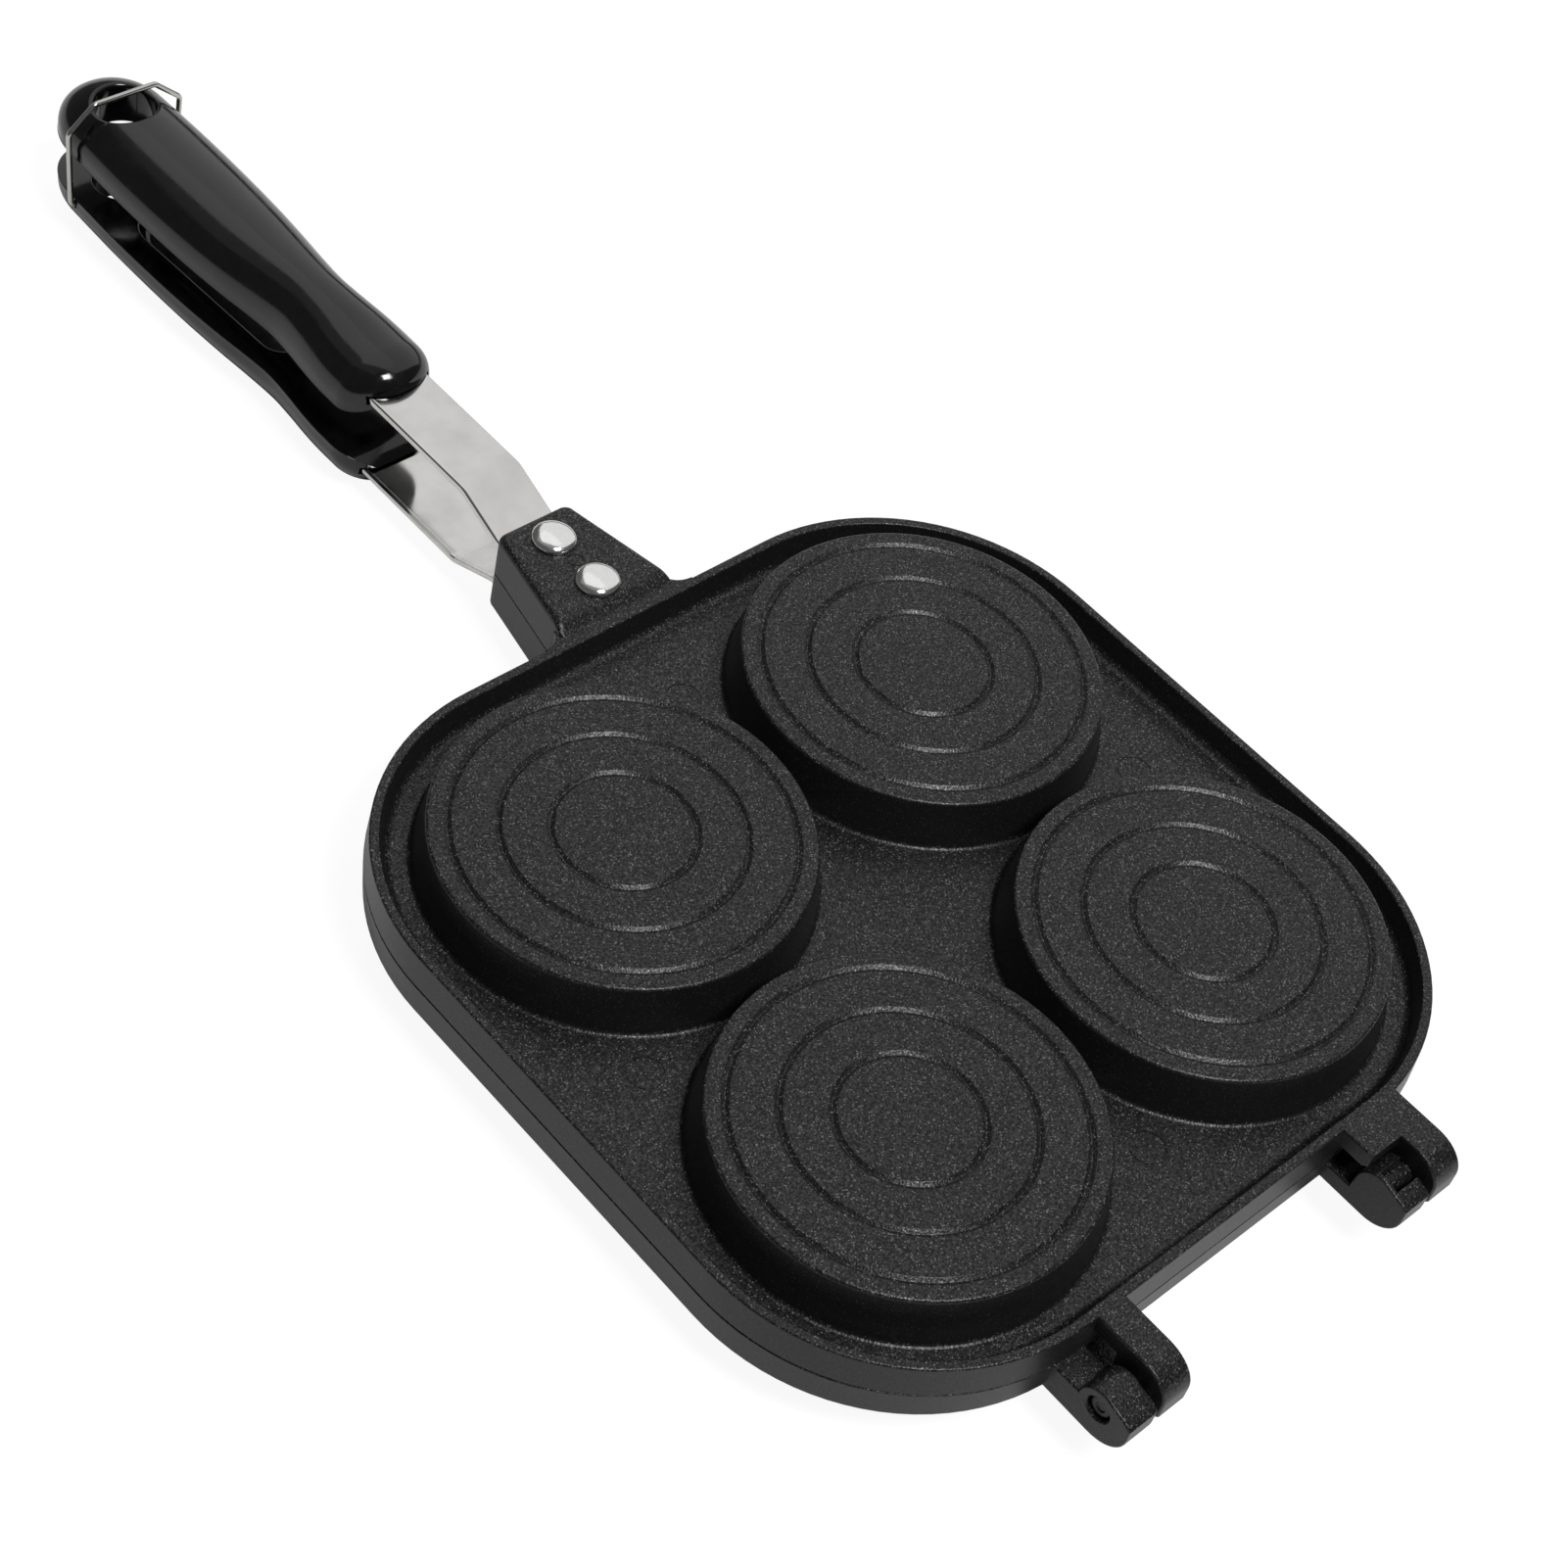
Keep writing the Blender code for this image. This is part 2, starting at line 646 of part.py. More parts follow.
def grip_sections():
    """Cross-sections from the rounded nose to the rounded end."""
    start = RIM_REAR_Y + GRIP_START + GRIP_NOSE_LENGTH
    rise = GRIP_CROWN - GRIP_WIDEST
    depth = GRIP_WIDEST - GRIP_FLAT
    body_length = GRIP_LENGTH - GRIP_NOSE_LENGTH - GRIP_END_LENGTH
    width, height = GRIP_SHARES[0][1:]
    reach = GRIP_NOSE_LENGTH / math.sin(math.radians(GRIP_NOSE_DEG))
    sections = []
    for step in range(GRIP_NOSE_STEPS, 0, -1):
        angle = math.radians(GRIP_NOSE_DEG * step / GRIP_NOSE_STEPS)
        section = grip_section(
            start - reach * math.sin(angle),
            GRIP_HALF_WIDTH * width,
            GRIP_WIDEST + rise * height,
            GRIP_FLAT,
        )
        sections.append(nose_section(section, math.cos(angle)))
    for place, width, height in GRIP_SHARES:
        sections.append(grip_section(
            start + body_length * place,
            GRIP_HALF_WIDTH * width,
            GRIP_WIDEST + rise * height,
            GRIP_FLAT,
        ))
    reach = GRIP_END_LENGTH / math.sin(math.radians(GRIP_END_DEG))
    for step in range(1, GRIP_END_STEPS + 1):
        angle = math.radians(GRIP_END_DEG * step / GRIP_END_STEPS)
        shrink = math.cos(angle)
        sections.append(grip_section(
            start + body_length + reach * math.sin(angle),
            GRIP_HALF_WIDTH * width * shrink,
            GRIP_WIDEST + rise * height * shrink,
            GRIP_WIDEST - depth * math.sqrt(shrink),
        ))
    return sections


def grip_mesh(name):
    """Loft the grip through its cross-sections."""
    bm = bmesh.new()
    rings = [[bm.verts.new(point) for point in section] for section in grip_sections()]
    for first, second in zip(rings, rings[1:]):
        for index in range(len(first)):
            after = (index + 1) % len(first)
            bm.faces.new((first[index], first[after], second[after], second[index]))
    bm.faces.new(rings[0])
    bm.faces.new(rings[-1])
    return mesh_from(bm, name)


def pocket_mesh(name):
    """The long recess in a grip's flat side: two round ends of unlike radius."""
    front = RIM_REAR_Y + GRIP_START + POCKET_START + POCKET_FRONT_RADIUS
    rear = RIM_REAR_Y + GRIP_START + POCKET_START + POCKET_LENGTH - POCKET_REAR_RADIUS
    radii = (POCKET_FRONT_RADIUS, POCKET_FRONT_RADIUS)
    outline = arc((0, front), radii, 180, 360, POCKET_STEPS)
    radii = (POCKET_REAR_RADIUS, POCKET_REAR_RADIUS)
    outline += arc((0, rear), radii, 0, 180, POCKET_STEPS)
    bm = prism(outline, GRIP_FLAT - OVERRUN, GRIP_FLAT + POCKET_DEPTH, "Z")
    return mesh_from(bm, name)


def add_grip(tag, group, tools, frame, material, holds_wire):
    """A grip with its strap mouth, hanging hole and pocket."""
    name = f"{tag}_grip"
    grip = new_object(name, grip_mesh(name), group, frame, material)
    mouth = f"mouth_{name}"
    width = STRAP_HALF + SEAT_GAP
    low_y = RIM_REAR_Y + GRIP_START - OVERRUN
    high_y = RIM_REAR_Y + GRIP_START + STRAP_INSET + SEAT_GAP
    low = (-width, low_y, STRAP_HEIGHT - STRAP_FLANGE - SEAT_GAP)
    high = (width, high_y, STRAP_HEIGHT + SEAT_GAP)
    combine(grip, new_object(mouth, box_mesh(mouth, low, high), tools, grip), "DIFFERENCE")
    hole = f"hang_hole_{name}"
    low = (0, HANG_HOLE_Y, GRIP_FLAT - OVERRUN)
    high = (0, HANG_HOLE_Y, GRIP_CROWN + OVERRUN)
    rod = rod_mesh(hole, low, high, HANG_HOLE_RADIUS, steps=ROUND_STEPS)
    combine(grip, new_object(hole, rod, tools, grip), "DIFFERENCE")
    pocket = f"pocket_{name}"
    combine(grip, new_object(pocket, pocket_mesh(pocket), tools, grip), "DIFFERENCE")
    if holds_wire:
        for side in (-1, 1):
            hole = f"wire_hole_{side}_{name}"
            low = (side * (wire_hook_x() - SEAT_GAP), HANG_HOLE_Y, GRIP_WIDEST)
            high = (side * (GRIP_HALF_WIDTH + OVERRUN), HANG_HOLE_Y, GRIP_WIDEST)
            rod = rod_mesh(hole, low, high, WIRE_RADIUS + SEAT_GAP, steps=SMALL_STEPS // 2)
            combine(grip, new_object(hole, rod, tools, grip), "DIFFERENCE")
    return grip


def wire_leg_x():
    """How far the wire's legs stand from the middle."""
    return GRIP_HALF_WIDTH * GRIP_SHARES[-1][1] + WIRE_SIDE_GAP + WIRE_RADIUS


def wire_hook_x():
    """Where the wire's hooked ends stop, inside the lower grip."""
    return wire_leg_x() - WIRE_RADIUS - WIRE_SIDE_GAP - WIRE_HOOK


def wire_top():
    """Height of the wire's bar above its pivot."""
    return GRIP_CROWN + WIRE_RADIUS + GRIP_WIDEST


def rounded_path(corners, radius):
    """Replace each inner corner of a path by a short arc."""
    points = [corners[0]]
    for before, here, after in zip(corners, corners[1:], corners[2:]):
        here = Vector(here)
        back = Vector(before) - here
        ahead = Vector(after) - here
        half = back.angle(ahead) / 2
        reach = min(radius / math.tan(half), back.length / 2, ahead.length / 2)
        start = here + back.normalized() * reach
        end = here + ahead.normalized() * reach
        for step in range(WIRE_BEND_STEPS + 1):
            share = step / WIRE_BEND_STEPS
            first = start.lerp(here, share)
            points.append(tuple(first.lerp(here.lerp(end, share), share)))
    points.append(corners[-1])
    return points


def add_lock_wire(group, frame, material):
    """The wire loop, hooked into both sides of the lower grip, about its pivot."""
    leg = wire_leg_x()
    hook = wire_hook_x()
    top = wire_top()
    shoulder = (leg + WIRE_SPLAY, top - WIRE_SHOULDER_DROP)
    right = [(hook, 0), (leg, 0), shoulder, (WIRE_TOP_HALF, top)]
    outline = right + [(-x, z) for x, z in reversed(right)]
    corners = [(x, 0, z) for x, z in outline]
    curve = bpy.data.curves.new("lock_wire", "CURVE")
    curve.dimensions = "3D"
    curve.bevel_depth = WIRE_RADIUS
    curve.bevel_resolution = 2
    curve.use_fill_caps = True
    spline = curve.splines.new("POLY")
    points = rounded_path(corners, WIRE_BEND_RADIUS)
    spline.points.add(len(points) - 1)
    for point, place in zip(spline.points, points):
        point.co = (*place, 1)
    curve.materials.append(material)
    wire = bpy.data.objects.new("lock_wire", curve)
    group.objects.link(wire)
    wire.parent = frame
    return wire


def new_frame(name, group, location, rotation=(0, 0, 0)):
    """An empty that stands on a joint's axis."""
    frame = bpy.data.objects.new(name, None)
    group.objects.link(frame)
    frame.location = location
    frame.rotation_euler = rotation
    return frame


def add_half(tag, group, tools, frame, materials, holds_wire):
    """Everything that swings with one half."""
    add_pan(tag, group, tools, frame, materials["coating"])
    add_pin(tag, group, frame, materials["coating"])
    add_strap(tag, group, tools, frame, materials["steel"])
    add_rivets(tag, group, frame, materials["rivet"])
    add_grip(tag, group, tools, frame, materials["grip"], holds_wire)


def main():
    """Build the closed pan."""
    clear_scene()
    group = new_collection("double_sided_frying_pan")
    tools = new_collection("guides")
    materials = {
        "coating": new_material("black_coating", (0.035, 0.035, 0.037), 0.6, 0.0),
        "steel": new_material("strap_steel", (0.62, 0.61, 0.59), 0.32, 1.0),
        "rivet": new_material("rivet_metal", (0.78, 0.77, 0.76), 0.18, 1.0),
        "wire": new_material("wire_steel", (0.72, 0.71, 0.70), 0.25, 1.0),
        "grip": new_material("black_grip", (0.008, 0.008, 0.008), 0.15, 0.0),
    }
    axis = (0, HINGE_Y, MEETING_Z)
    lower = new_frame("lower_half_frame", group, axis, (0, math.pi, 0))
    upper = new_frame("upper_half_hinge", group, axis)
    add_half("lower", group, tools, lower, materials, True)
    add_half("upper", group, tools, upper, materials, False)
    pivot = (0, HINGE_Y + HANG_HOLE_Y, MEETING_Z - GRIP_WIDEST)
    add_lock_wire(group, new_frame("lock_wire_pivot", group, pivot), materials["wire"])
    bpy.context.view_layer.update()


if __name__ == "__main__":
    main()
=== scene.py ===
"""Double-sided frying pan: fine shapes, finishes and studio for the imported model.

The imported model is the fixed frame. Each half is shaped once in a frame of its own, whose
origin is the hinge axis, whose z = 0 is the plane where the halves meet and whose +Z
points out of the half, and is then put in place above and, turned over, below.
"""

import json
import math

import bmesh
import bpy
from bpy.props import FloatProperty, FloatVectorProperty, PointerProperty
from mathutils import Matrix, Vector


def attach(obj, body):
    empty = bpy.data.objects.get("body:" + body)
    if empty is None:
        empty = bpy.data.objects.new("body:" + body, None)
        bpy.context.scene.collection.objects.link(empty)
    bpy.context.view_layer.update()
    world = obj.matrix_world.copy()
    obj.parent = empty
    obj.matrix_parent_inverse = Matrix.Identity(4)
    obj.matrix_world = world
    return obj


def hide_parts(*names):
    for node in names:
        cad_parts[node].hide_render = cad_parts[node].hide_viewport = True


bl_info = {
    "name": "Double-sided frying pan",
    "version": (1, 0, 0),
    "blender": (4, 5, 0),
    "location": "3D View > Sidebar > Frying pan",
    "description": "Shapes, finishes and studio for a hinged pan with two cast halves",
    "category": "Add Mesh",
}

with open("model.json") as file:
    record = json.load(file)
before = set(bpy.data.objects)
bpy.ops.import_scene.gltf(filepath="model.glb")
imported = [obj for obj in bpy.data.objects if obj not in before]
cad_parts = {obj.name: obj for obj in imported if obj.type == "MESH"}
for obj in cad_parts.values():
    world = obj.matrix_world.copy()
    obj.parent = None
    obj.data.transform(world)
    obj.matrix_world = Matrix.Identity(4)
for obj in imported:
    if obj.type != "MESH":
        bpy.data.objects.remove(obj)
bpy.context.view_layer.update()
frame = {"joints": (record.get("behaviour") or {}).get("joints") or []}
JOINTS = {joint["name"]: joint for joint in frame["joints"]}
HINGE_AXIS = Vector(JOINTS["upper_half_hinge"]["pos_m"])
WIRE_PIVOT = Vector(JOINTS["lock_wire_swing"]["pos_m"])
WIRE_Y = WIRE_PIVOT.y - HINGE_AXIS.y

MM = 0.001
MERGE = 0.000002
OVERRUN = 1.0 * MM
FIT = 0.3 * MM
HALF_GAP = FIT / 2
NEAR_FLAT_DEG = 8
SHARP_DEG = 34

# The two halves and the place of each in the world
HALVES = {
    "upper": Matrix.Translation(HINGE_AXIS),
    "lower": Matrix.Translation(HINGE_AXIS) @ Matrix.Rotation(math.pi, 4, "Y"),
}

# Fineness of round shapes, in steps
ROUND_STEPS = 96
CORNER_STEPS = 24
EDGE_STEPS = 5
BEND_STEPS = 6
SMALL_ROUND_STEPS = 40
WIRE_STEPS = 16

# Tray of a half
MOULD_TO_RIM = 5.7 * MM
WALL_DRAFT = 0.8 * MM
RIM_BULGE = 0.4 * MM
AXIS_TO_RIM = 11.4 * MM
MEETING_EDGE = 0.25 * MM

# Moulds
MOULD_DRAFT = 1.8 * MM
MOULD_GAP = 1.2 * MM
CAVITY_ROOF = 2.1 * MM
CAVITY_WALL = 1.3 * MM
CAVITY_DRAFT = 2.6 * MM
CAVITY_EDGE = 1.8 * MM
CAVITY_MOUTH_EDGE = 0.8 * MM
GROOVE_RADIUS_SHARES = (0.375, 0.635, 0.890)
GROOVE_WALL_DEG = 35
GROOVE_ROUNDING = 0.22 * MM

# Rings left by the ejector pins of the mould tool
MARK_DISTANCE = 70.5 * MM
MARK_RADIUS = 3.8 * MM
BLOCK_MARK_RADIUS = 1.75 * MM
MARK_WIDTH = 0.34 * MM
MARK_DEPTH = 0.20 * MM
MARK_BOTTOM_SHARE = 0.6

# Hinge lugs
PIN_LUG_INNER_X = 32.0 * MM
PIN_LUG_OUTER_X = 39.8 * MM
LUG_SIDE_GAP = 1.2 * MM
SOCKET_LUG_WIDTH = 8.0 * MM
BARREL_RADIUS = 5.0 * MM
BARREL_START_DEG = 240
NOSE_REACH = 7.6 * MM
NOSE_ROUND_HEIGHT = 6.6 * MM
NOSE_TOE = 2.0 * MM
NOSE_CHAMFER = 1.1 * MM
LUG_DROP = 0.02 * MM
LUG_ROOT = 1.5 * MM
LUG_EDGE = 0.55 * MM
WEB_THICKNESS = 4.7 * MM
WEB_FRONT = 3.7 * MM
WEB_CHAMFER = 1.2 * MM
PIN_LUG_NECK = 5.4 * MM
PIN_BORE_END = 1.2 * MM
BORE_CHAMFER = 0.35 * MM
SLOT_FRONT = 3.8 * MM
SLOT_BACK = 1.2 * MM
SLOT_CHEEK = 1.0 * MM
PIN_CHAMFER = 0.6 * MM
PIN_RECESS = 0.8 * MM

# Socket block
BLOCK_TOP = 10.6 * MM
BLOCK_REAR = 31.2 * MM
BLOCK_FRONT_HALF = 15.7 * MM
BLOCK_REAR_HALF = 10.4 * MM
BLOCK_FLARE = 5.2 * MM
BLOCK_FLARE_LENGTH = 3.6 * MM
BLOCK_EDGE = 1.7 * MM
BLOCK_CORNER = 2.6 * MM
BLOCK_RAMP = 5.0 * MM
BLOCK_RAMP_STEPS = 10
CHANNEL_HEIGHT = 6.7 * MM
CHANNEL_START = 2.2 * MM

# Rivets
RIVET_SHANK_RADIUS = 2.0 * MM
RIVET_TAIL_RADIUS = 3.1 * MM
RIVET_TAIL_HEIGHT = 1.1 * MM
RIVET_LIP = 0.25 * MM
RIVET_FRONT = 8.4 * MM
RIVET_PITCH = 15.1 * MM

# Straps
STRAP_FLANGE = 1.6 * MM
STRAP_FOLD_RADIUS = 0.7 * MM
STRAP_BEND_RADIUS = 7.0 * MM
STRAP_EDGE = 0.12 * MM
STRAP_EDGE_STEPS = 2
STRAP_CREASE_DEG = 57.3
STRAP_START = 3.1 * MM
STRAP_RISE_START = 32.5 * MM
STRAP_RISE_END = 45.8 * MM
STRAP_HEIGHT = 11.7 * MM
STRAP_INSET = 35.6 * MM

# Grips, with rows of place between nose and rounded end, half width and crown height
GRIP_START = 77.0 * MM
GRIP_FLAT = 6.0 * MM
GRIP_WIDEST = 8.0 * MM
GRIP_NOSE_LENGTH = 9.5 * MM
GRIP_NOSE_HEIGHT = 12.5 * MM
GRIP_NOSE_DEG = 78
GRIP_END_LENGTH = 15.6 * MM
GRIP_END_DEG = 87
GRIP_DOME_POWER = 2.1
GRIP_SHARES = (
    (0.000, 0.860, 0.950),
    (0.063, 0.857, 0.965),
    (0.120, 0.825, 0.990),
    (0.189, 0.770, 1.000),
    (0.256, 0.742, 1.000),
    (0.333, 0.790, 0.980),
    (0.429, 0.874, 0.955),
    (0.545, 0.944, 0.940),
    (0.680, 0.986, 0.925),
    (0.816, 1.000, 0.910),
    (0.921, 0.986, 0.905),
    (1.000, 0.969, 0.900),
)
GRIP_NOSE_STATIONS = 20
GRIP_BODY_STATIONS = 60
GRIP_END_STATIONS = 20
GRIP_EDGE = 0.2 * MM
GRIP_FLAT_DEPTH = GRIP_WIDEST - GRIP_FLAT
GRIP_CORNER_STEPS = 6
GRIP_DOME_STEPS = 44
GRIP_FLAT_STEPS = 8
PARTING_LINE_WIDTH = 0.22 * MM
PARTING_LINE_HEIGHT = 0.13 * MM
MOUTH_SIDE_GAP = 0.6 * MM
HOLE_EDGE = 1.2 * MM
HOLE_FLAT_EDGE = 0.4 * MM
POCKET_DEPTH = 4.5 * MM
POCKET_FRONT_RADIUS = 5.3 * MM
POCKET_REAR_RADIUS = 7.4 * MM
POCKET_START = 40.1 * MM
POCKET_LENGTH = 58.0 * MM
POCKET_EDGE = 0.8 * MM
POCKET_FLOOR_EDGE = 3.0 * MM
POCKET_STEPS = 20

# Lock wire
WIRE_SIDE_GAP = 0.4 * MM
WIRE_SHOULDER_DROP = 6.2 * MM
WIRE_TOP_HALF = 8.4 * MM
WIRE_SPLAY = 0.7 * MM
WIRE_HOOK = 3.0 * MM
WIRE_BEND_RADIUS = 1.9 * MM

# Stage, in metres, with each softbox's place, width and height
SENSOR_WIDTH_MM = 36
NEAREST_SEEN = 10.0 * MM
FLOOR_HALF = 4.0
LAMP_AIM = Vector((0, -0.05, 0.02))
SOFTBOXES = {
    "right": ((0.85, 0.45, 1.15), 2.4, 2.7),
    "top": ((-0.05, 0.45, 1.35), 1.3, 1.5),
    "front": ((-0.12, -0.76, 1.32), 0.40, 0.40),
}


def linear(code):
    """Turn an sRGB hex colour into linear values."""
    values = [int(code[place:place + 2], 16) / 255 for place in (1, 3, 5)]
    return tuple(v / 12.92 if v <= 0.04045 else ((v + 0.055) / 1.055) ** 2.4 for v in values)


def number(name, description, default, **kind):
    """A value that a user can change."""
    return FloatProperty(name=name, description=description, default=default, **kind)


def length(name, description, millimetres):
    """A size that a user can change."""
    return number(name, description, millimetres * MM, unit="LENGTH", min=0)


def angle(name, description, degrees):
    """An angle that a user can change."""
    return number(name, description, math.radians(degrees), subtype="ANGLE")


def colour(name, description, code):
    """A colour that a user can change."""
    return FloatVectorProperty(
        name=name, description=description, default=linear(code), subtype="COLOR", min=0, max=1
    )


class CastingSizes(bpy.types.PropertyGroup):
    """Sizes of the two cast halves"""

    lip_height: length("Rim height", "Height of the rim above the meeting plane", 8.2)
    lip_width: length("Rim width", "Width of the rim's flat top with its edges", 2.3)
    lip_edge: length("Rim edge", "Radius of the rim's edges", 0.55)
    floor_height: length("Floor height", "Height of the tray's floor", 2.0)
    floor_fillet: length("Floor fillet", "Radius between the rim's wall and the floor", 2.2)
    mould_radius: length("Mould radius", "Radius of a mould at its foot", 41.8)
    mould_height: length("Mould height", "Height of a mould above the meeting plane", 14.0)
    mould_edge: length("Mould edge", "Radius of a mould's upper edge", 0.9)
    mould_fillet: length("Mould fillet", "Radius between a mould and the floor", 1.1)
    groove_width: length("Groove width", "Width of the ring grooves", 1.95)
    groove_depth: length("Groove depth", "Depth of the ring grooves", 0.58)
    pin_radius: length("Pin radius", "Radius of the hinge pins", 2.5)


class HardwareSizes(bpy.types.PropertyGroup):
    """Sizes of the straps, rivets and wire"""

    strap_half: length("Strap half width", "Half the width of a strap", 8.2)
    strap_sheet: length("Strap sheet", "Thickness of a strap's sheet", 1.2)
    rivet_radius: length("Rivet head radius", "Radius of a rivet's head", 5.1)
    rivet_height: length("Rivet head height", "Height of a rivet's head", 2.3)
    wire_radius: length("Wire radius", "Radius of the lock wire", 0.7)


class GripSizes(bpy.types.PropertyGroup):
    """Sizes of the grips"""

    length: length("Length", "Length of a grip", 128.8)
    half_width: length("Half width", "Half the greatest width of a grip", 14.3)
    crown: length("Crown height", "Height of the back above the meeting plane", 18.97)
    hole_radius: length("Hole radius", "Radius of the hanging hole", 7.4)


class FinishColours(bpy.types.PropertyGroup):
    """Colours of the finishes"""

    coating: colour("Coating", "Non-stick coating between its grains", "#121213")
    coating_light: colour("Coating grain", "Lighter grains of the coating", "#202022")
    # Pale specks are painted glints of the mica flakes, laid on faces that look up or down
    coating_glint_speck: colour("Coating specks", "Pale specks in the coating", "#67676a")
    grip: colour("Grip", "Phenolic moulding of the grips", "#0b0b0c")
    strap: colour("Strap", "Stainless sheet of the straps", "#dddcda")
    rivet: colour("Rivet", "Aluminium of the rivets", "#eeeeed")
    wire: colour("Wire", "Steel of the lock wire", "#c9c7c3")
    floor: colour("Floor", "Studio floor", "#f2f2f2")


class StageSettings(bpy.types.PropertyGroup):
    """Camera and lamps"""

    azimuth: angle("Azimuth", "Turn of the camera about the pan", -53.57)
    elevation: angle("Elevation", "Height of the camera as an angle", 47.80)
    roll: angle("Roll", "Turn of the camera about its view", 15.43)
    distance: length("Distance", "From the camera to its aim", 609.0)
    lens: number("Lens", "Focal length in millimetres", 69.04, min=1)
    aim: FloatVectorProperty(
        name="Aim", description="Point that the camera looks at", unit="LENGTH",
        default=(-11.9 * MM, -63.7 * MM, 40.1 * MM),
    )
    right_power: number("Right power", "Watts of the wide softbox to the right", 14.6)
    front_power: number("Front power", "Watts of the small softbox high in front", 14.0)
    top_power: number("Top power", "Watts of the faint softbox above", 1.0)
    sky: number("Sky", "Strength of the light all round", 0.10)


def arc(centre, radius, start, end, steps=EDGE_STEPS):
    """Points on a circle between two angles in degrees."""
    points = []
    for step in range(steps + 1):
        turn = math.radians(start + (end - start) * step / steps)
        points.append((centre[0] + radius * math.cos(turn), centre[1] + radius * math.sin(turn)))
    return points


def mirrored(side):
    """Add the mirror image of one side of an outline."""
    return side + [(-x, y) for x, y in reversed(side)]


def cleaned(bm):
    """Merge a shape's doubles and turn its faces outwards."""
    bmesh.ops.remove_doubles(bm, verts=bm.verts, dist=MERGE)
    bmesh.ops.recalc_face_normals(bm, faces=bm.faces)
    return bm


def spun(profile, steps=SMALL_ROUND_STEPS, axis="Z"):
    """Spin a profile of (radius, height) once round an axis."""
    bm = bmesh.new()
    verts = []
    for radius, height in profile:
        places = {"X": (height, radius, 0), "Y": (radius, height, 0), "Z": (radius, 0, height)}
        verts.append(bm.verts.new(places[axis]))
    edges = [bm.edges.new(pair) for pair in zip(verts, verts[1:])]
    turn = [float(axis == name) for name in "XYZ"]
    bmesh.ops.spin(
        bm, geom=verts + edges, cent=(0, 0, 0), axis=turn, angle=math.tau, steps=steps, use_merge=True
    )
    return cleaned(bm)


def rod(radius, low, high, steps=SMALL_ROUND_STEPS, axis="Z"):
    """A round bar between two heights, for a bore."""
    return spun([(0, low), (radius, low), (radius, high), (0, high)], steps, axis)


def moved(bm, place):
    """Move a whole shape."""
    bmesh.ops.translate(bm, vec=place, verts=bm.verts)
    return bm


def block(low, high):
    """A box between two corners."""
    bm = bmesh.new()
    low = Vector(low)
    high = Vector(high)
    size = Matrix.Diagonal((*(high - low), 1))
    bmesh.ops.create_cube(bm, size=1, matrix=Matrix.Translation((low + high) / 2) @ size)
    return bm


def round_edges(bm, edges, radius, steps=EDGE_STEPS):
    """Round some edges of a shape."""
    bmesh.ops.bevel(
        bm, geom=edges, offset=radius, segments=steps, profile=0.5, affect="EDGES", material=-1
    )


def whole(bm):
    """All vertices, edges and faces of a shape."""
    return [*bm.verts, *bm.edges, *bm.faces]


def of_kind(parts, kind):
    """The vertices, edges or faces among parts of a shape."""
    return [part for part in parts if isinstance(part, kind)]


def prism(outline, low, high, axis):
    """Pull a flat outline along X or Z; also returns its two end faces."""
    bm = bmesh.new()
    corners = []
    for first, second in outline:
        place = (low, first, second) if axis == "X" else (first, second, low)
        corners.append(bm.verts.new(place))
    start = bm.faces.new(corners)
    pulled = bmesh.ops.extrude_face_region(bm, geom=[start], use_keep_orig=True)["geom"]
    reach = (high - low, 0, 0) if axis == "X" else (0, 0, high - low)
    bmesh.ops.translate(bm, vec=reach, verts=of_kind(pulled, bmesh.types.BMVert))
    bmesh.ops.recalc_face_normals(bm, faces=bm.faces)
    return bm, start, of_kind(pulled, bmesh.types.BMFace)[0]


def climb(bm, face, points):
    """Step a face inwards and along its normal through points of (inset, rise)."""
    inset, rise = points[0]
    for next_inset, next_rise in points[1:]:
        bmesh.ops.inset_region(
            bm, faces=[face], thickness=next_inset - inset, depth=next_rise - rise,
            use_even_offset=True,
        )
        inset, rise = next_inset, next_rise


def swept(bm, edges, corners, radius):
    """Draw a row of edges along a path and bend it round the path's corners."""
    here = corners[0]
    for before, corner, after in zip(corners, corners[1:], corners[2:]):
        ahead = (corner - before).normalized()
        turned = (after - corner).normalized()
        bend = ahead.angle(turned)
        cut = radius * math.tan(bend / 2)
        edges = drawn(bm, edges, corner - ahead * cut - here)
        inward = (turned - ahead).normalized()
        last = bmesh.ops.spin(
            bm, geom=edges + list({vert for edge in edges for vert in edge.verts}),
            cent=corner + inward * (radius / math.cos(bend / 2)), axis=ahead.cross(turned),
            angle=bend, steps=BEND_STEPS, use_merge=False,
        )["geom_last"]
        edges = of_kind(last, bmesh.types.BMEdge)
        here = corner + turned * cut
    drawn(bm, edges, corners[-1] - here)


def drawn(bm, edges, step):
    """Draw a row of edges out along a step and return the new row."""
    grown = bmesh.ops.extrude_edge_only(bm, edges=edges)["geom"]
    verts = of_kind(grown, bmesh.types.BMVert)
    bmesh.ops.translate(bm, vec=step, verts=verts)
    return [e for e in of_kind(grown, bmesh.types.BMEdge) if set(verts).issuperset(e.verts)]


def to_mesh(bm, name):
    """Make a mesh from a shape and free the shape."""
    mesh = bpy.data.meshes.new(name)
    bm.to_mesh(mesh)
    bm.free()
    return mesh


def linked(name, data):
    """Put an object with its data into the scene."""
    item = bpy.data.objects.new(name, data)
    bpy.context.scene.collection.objects.link(item)
    return item


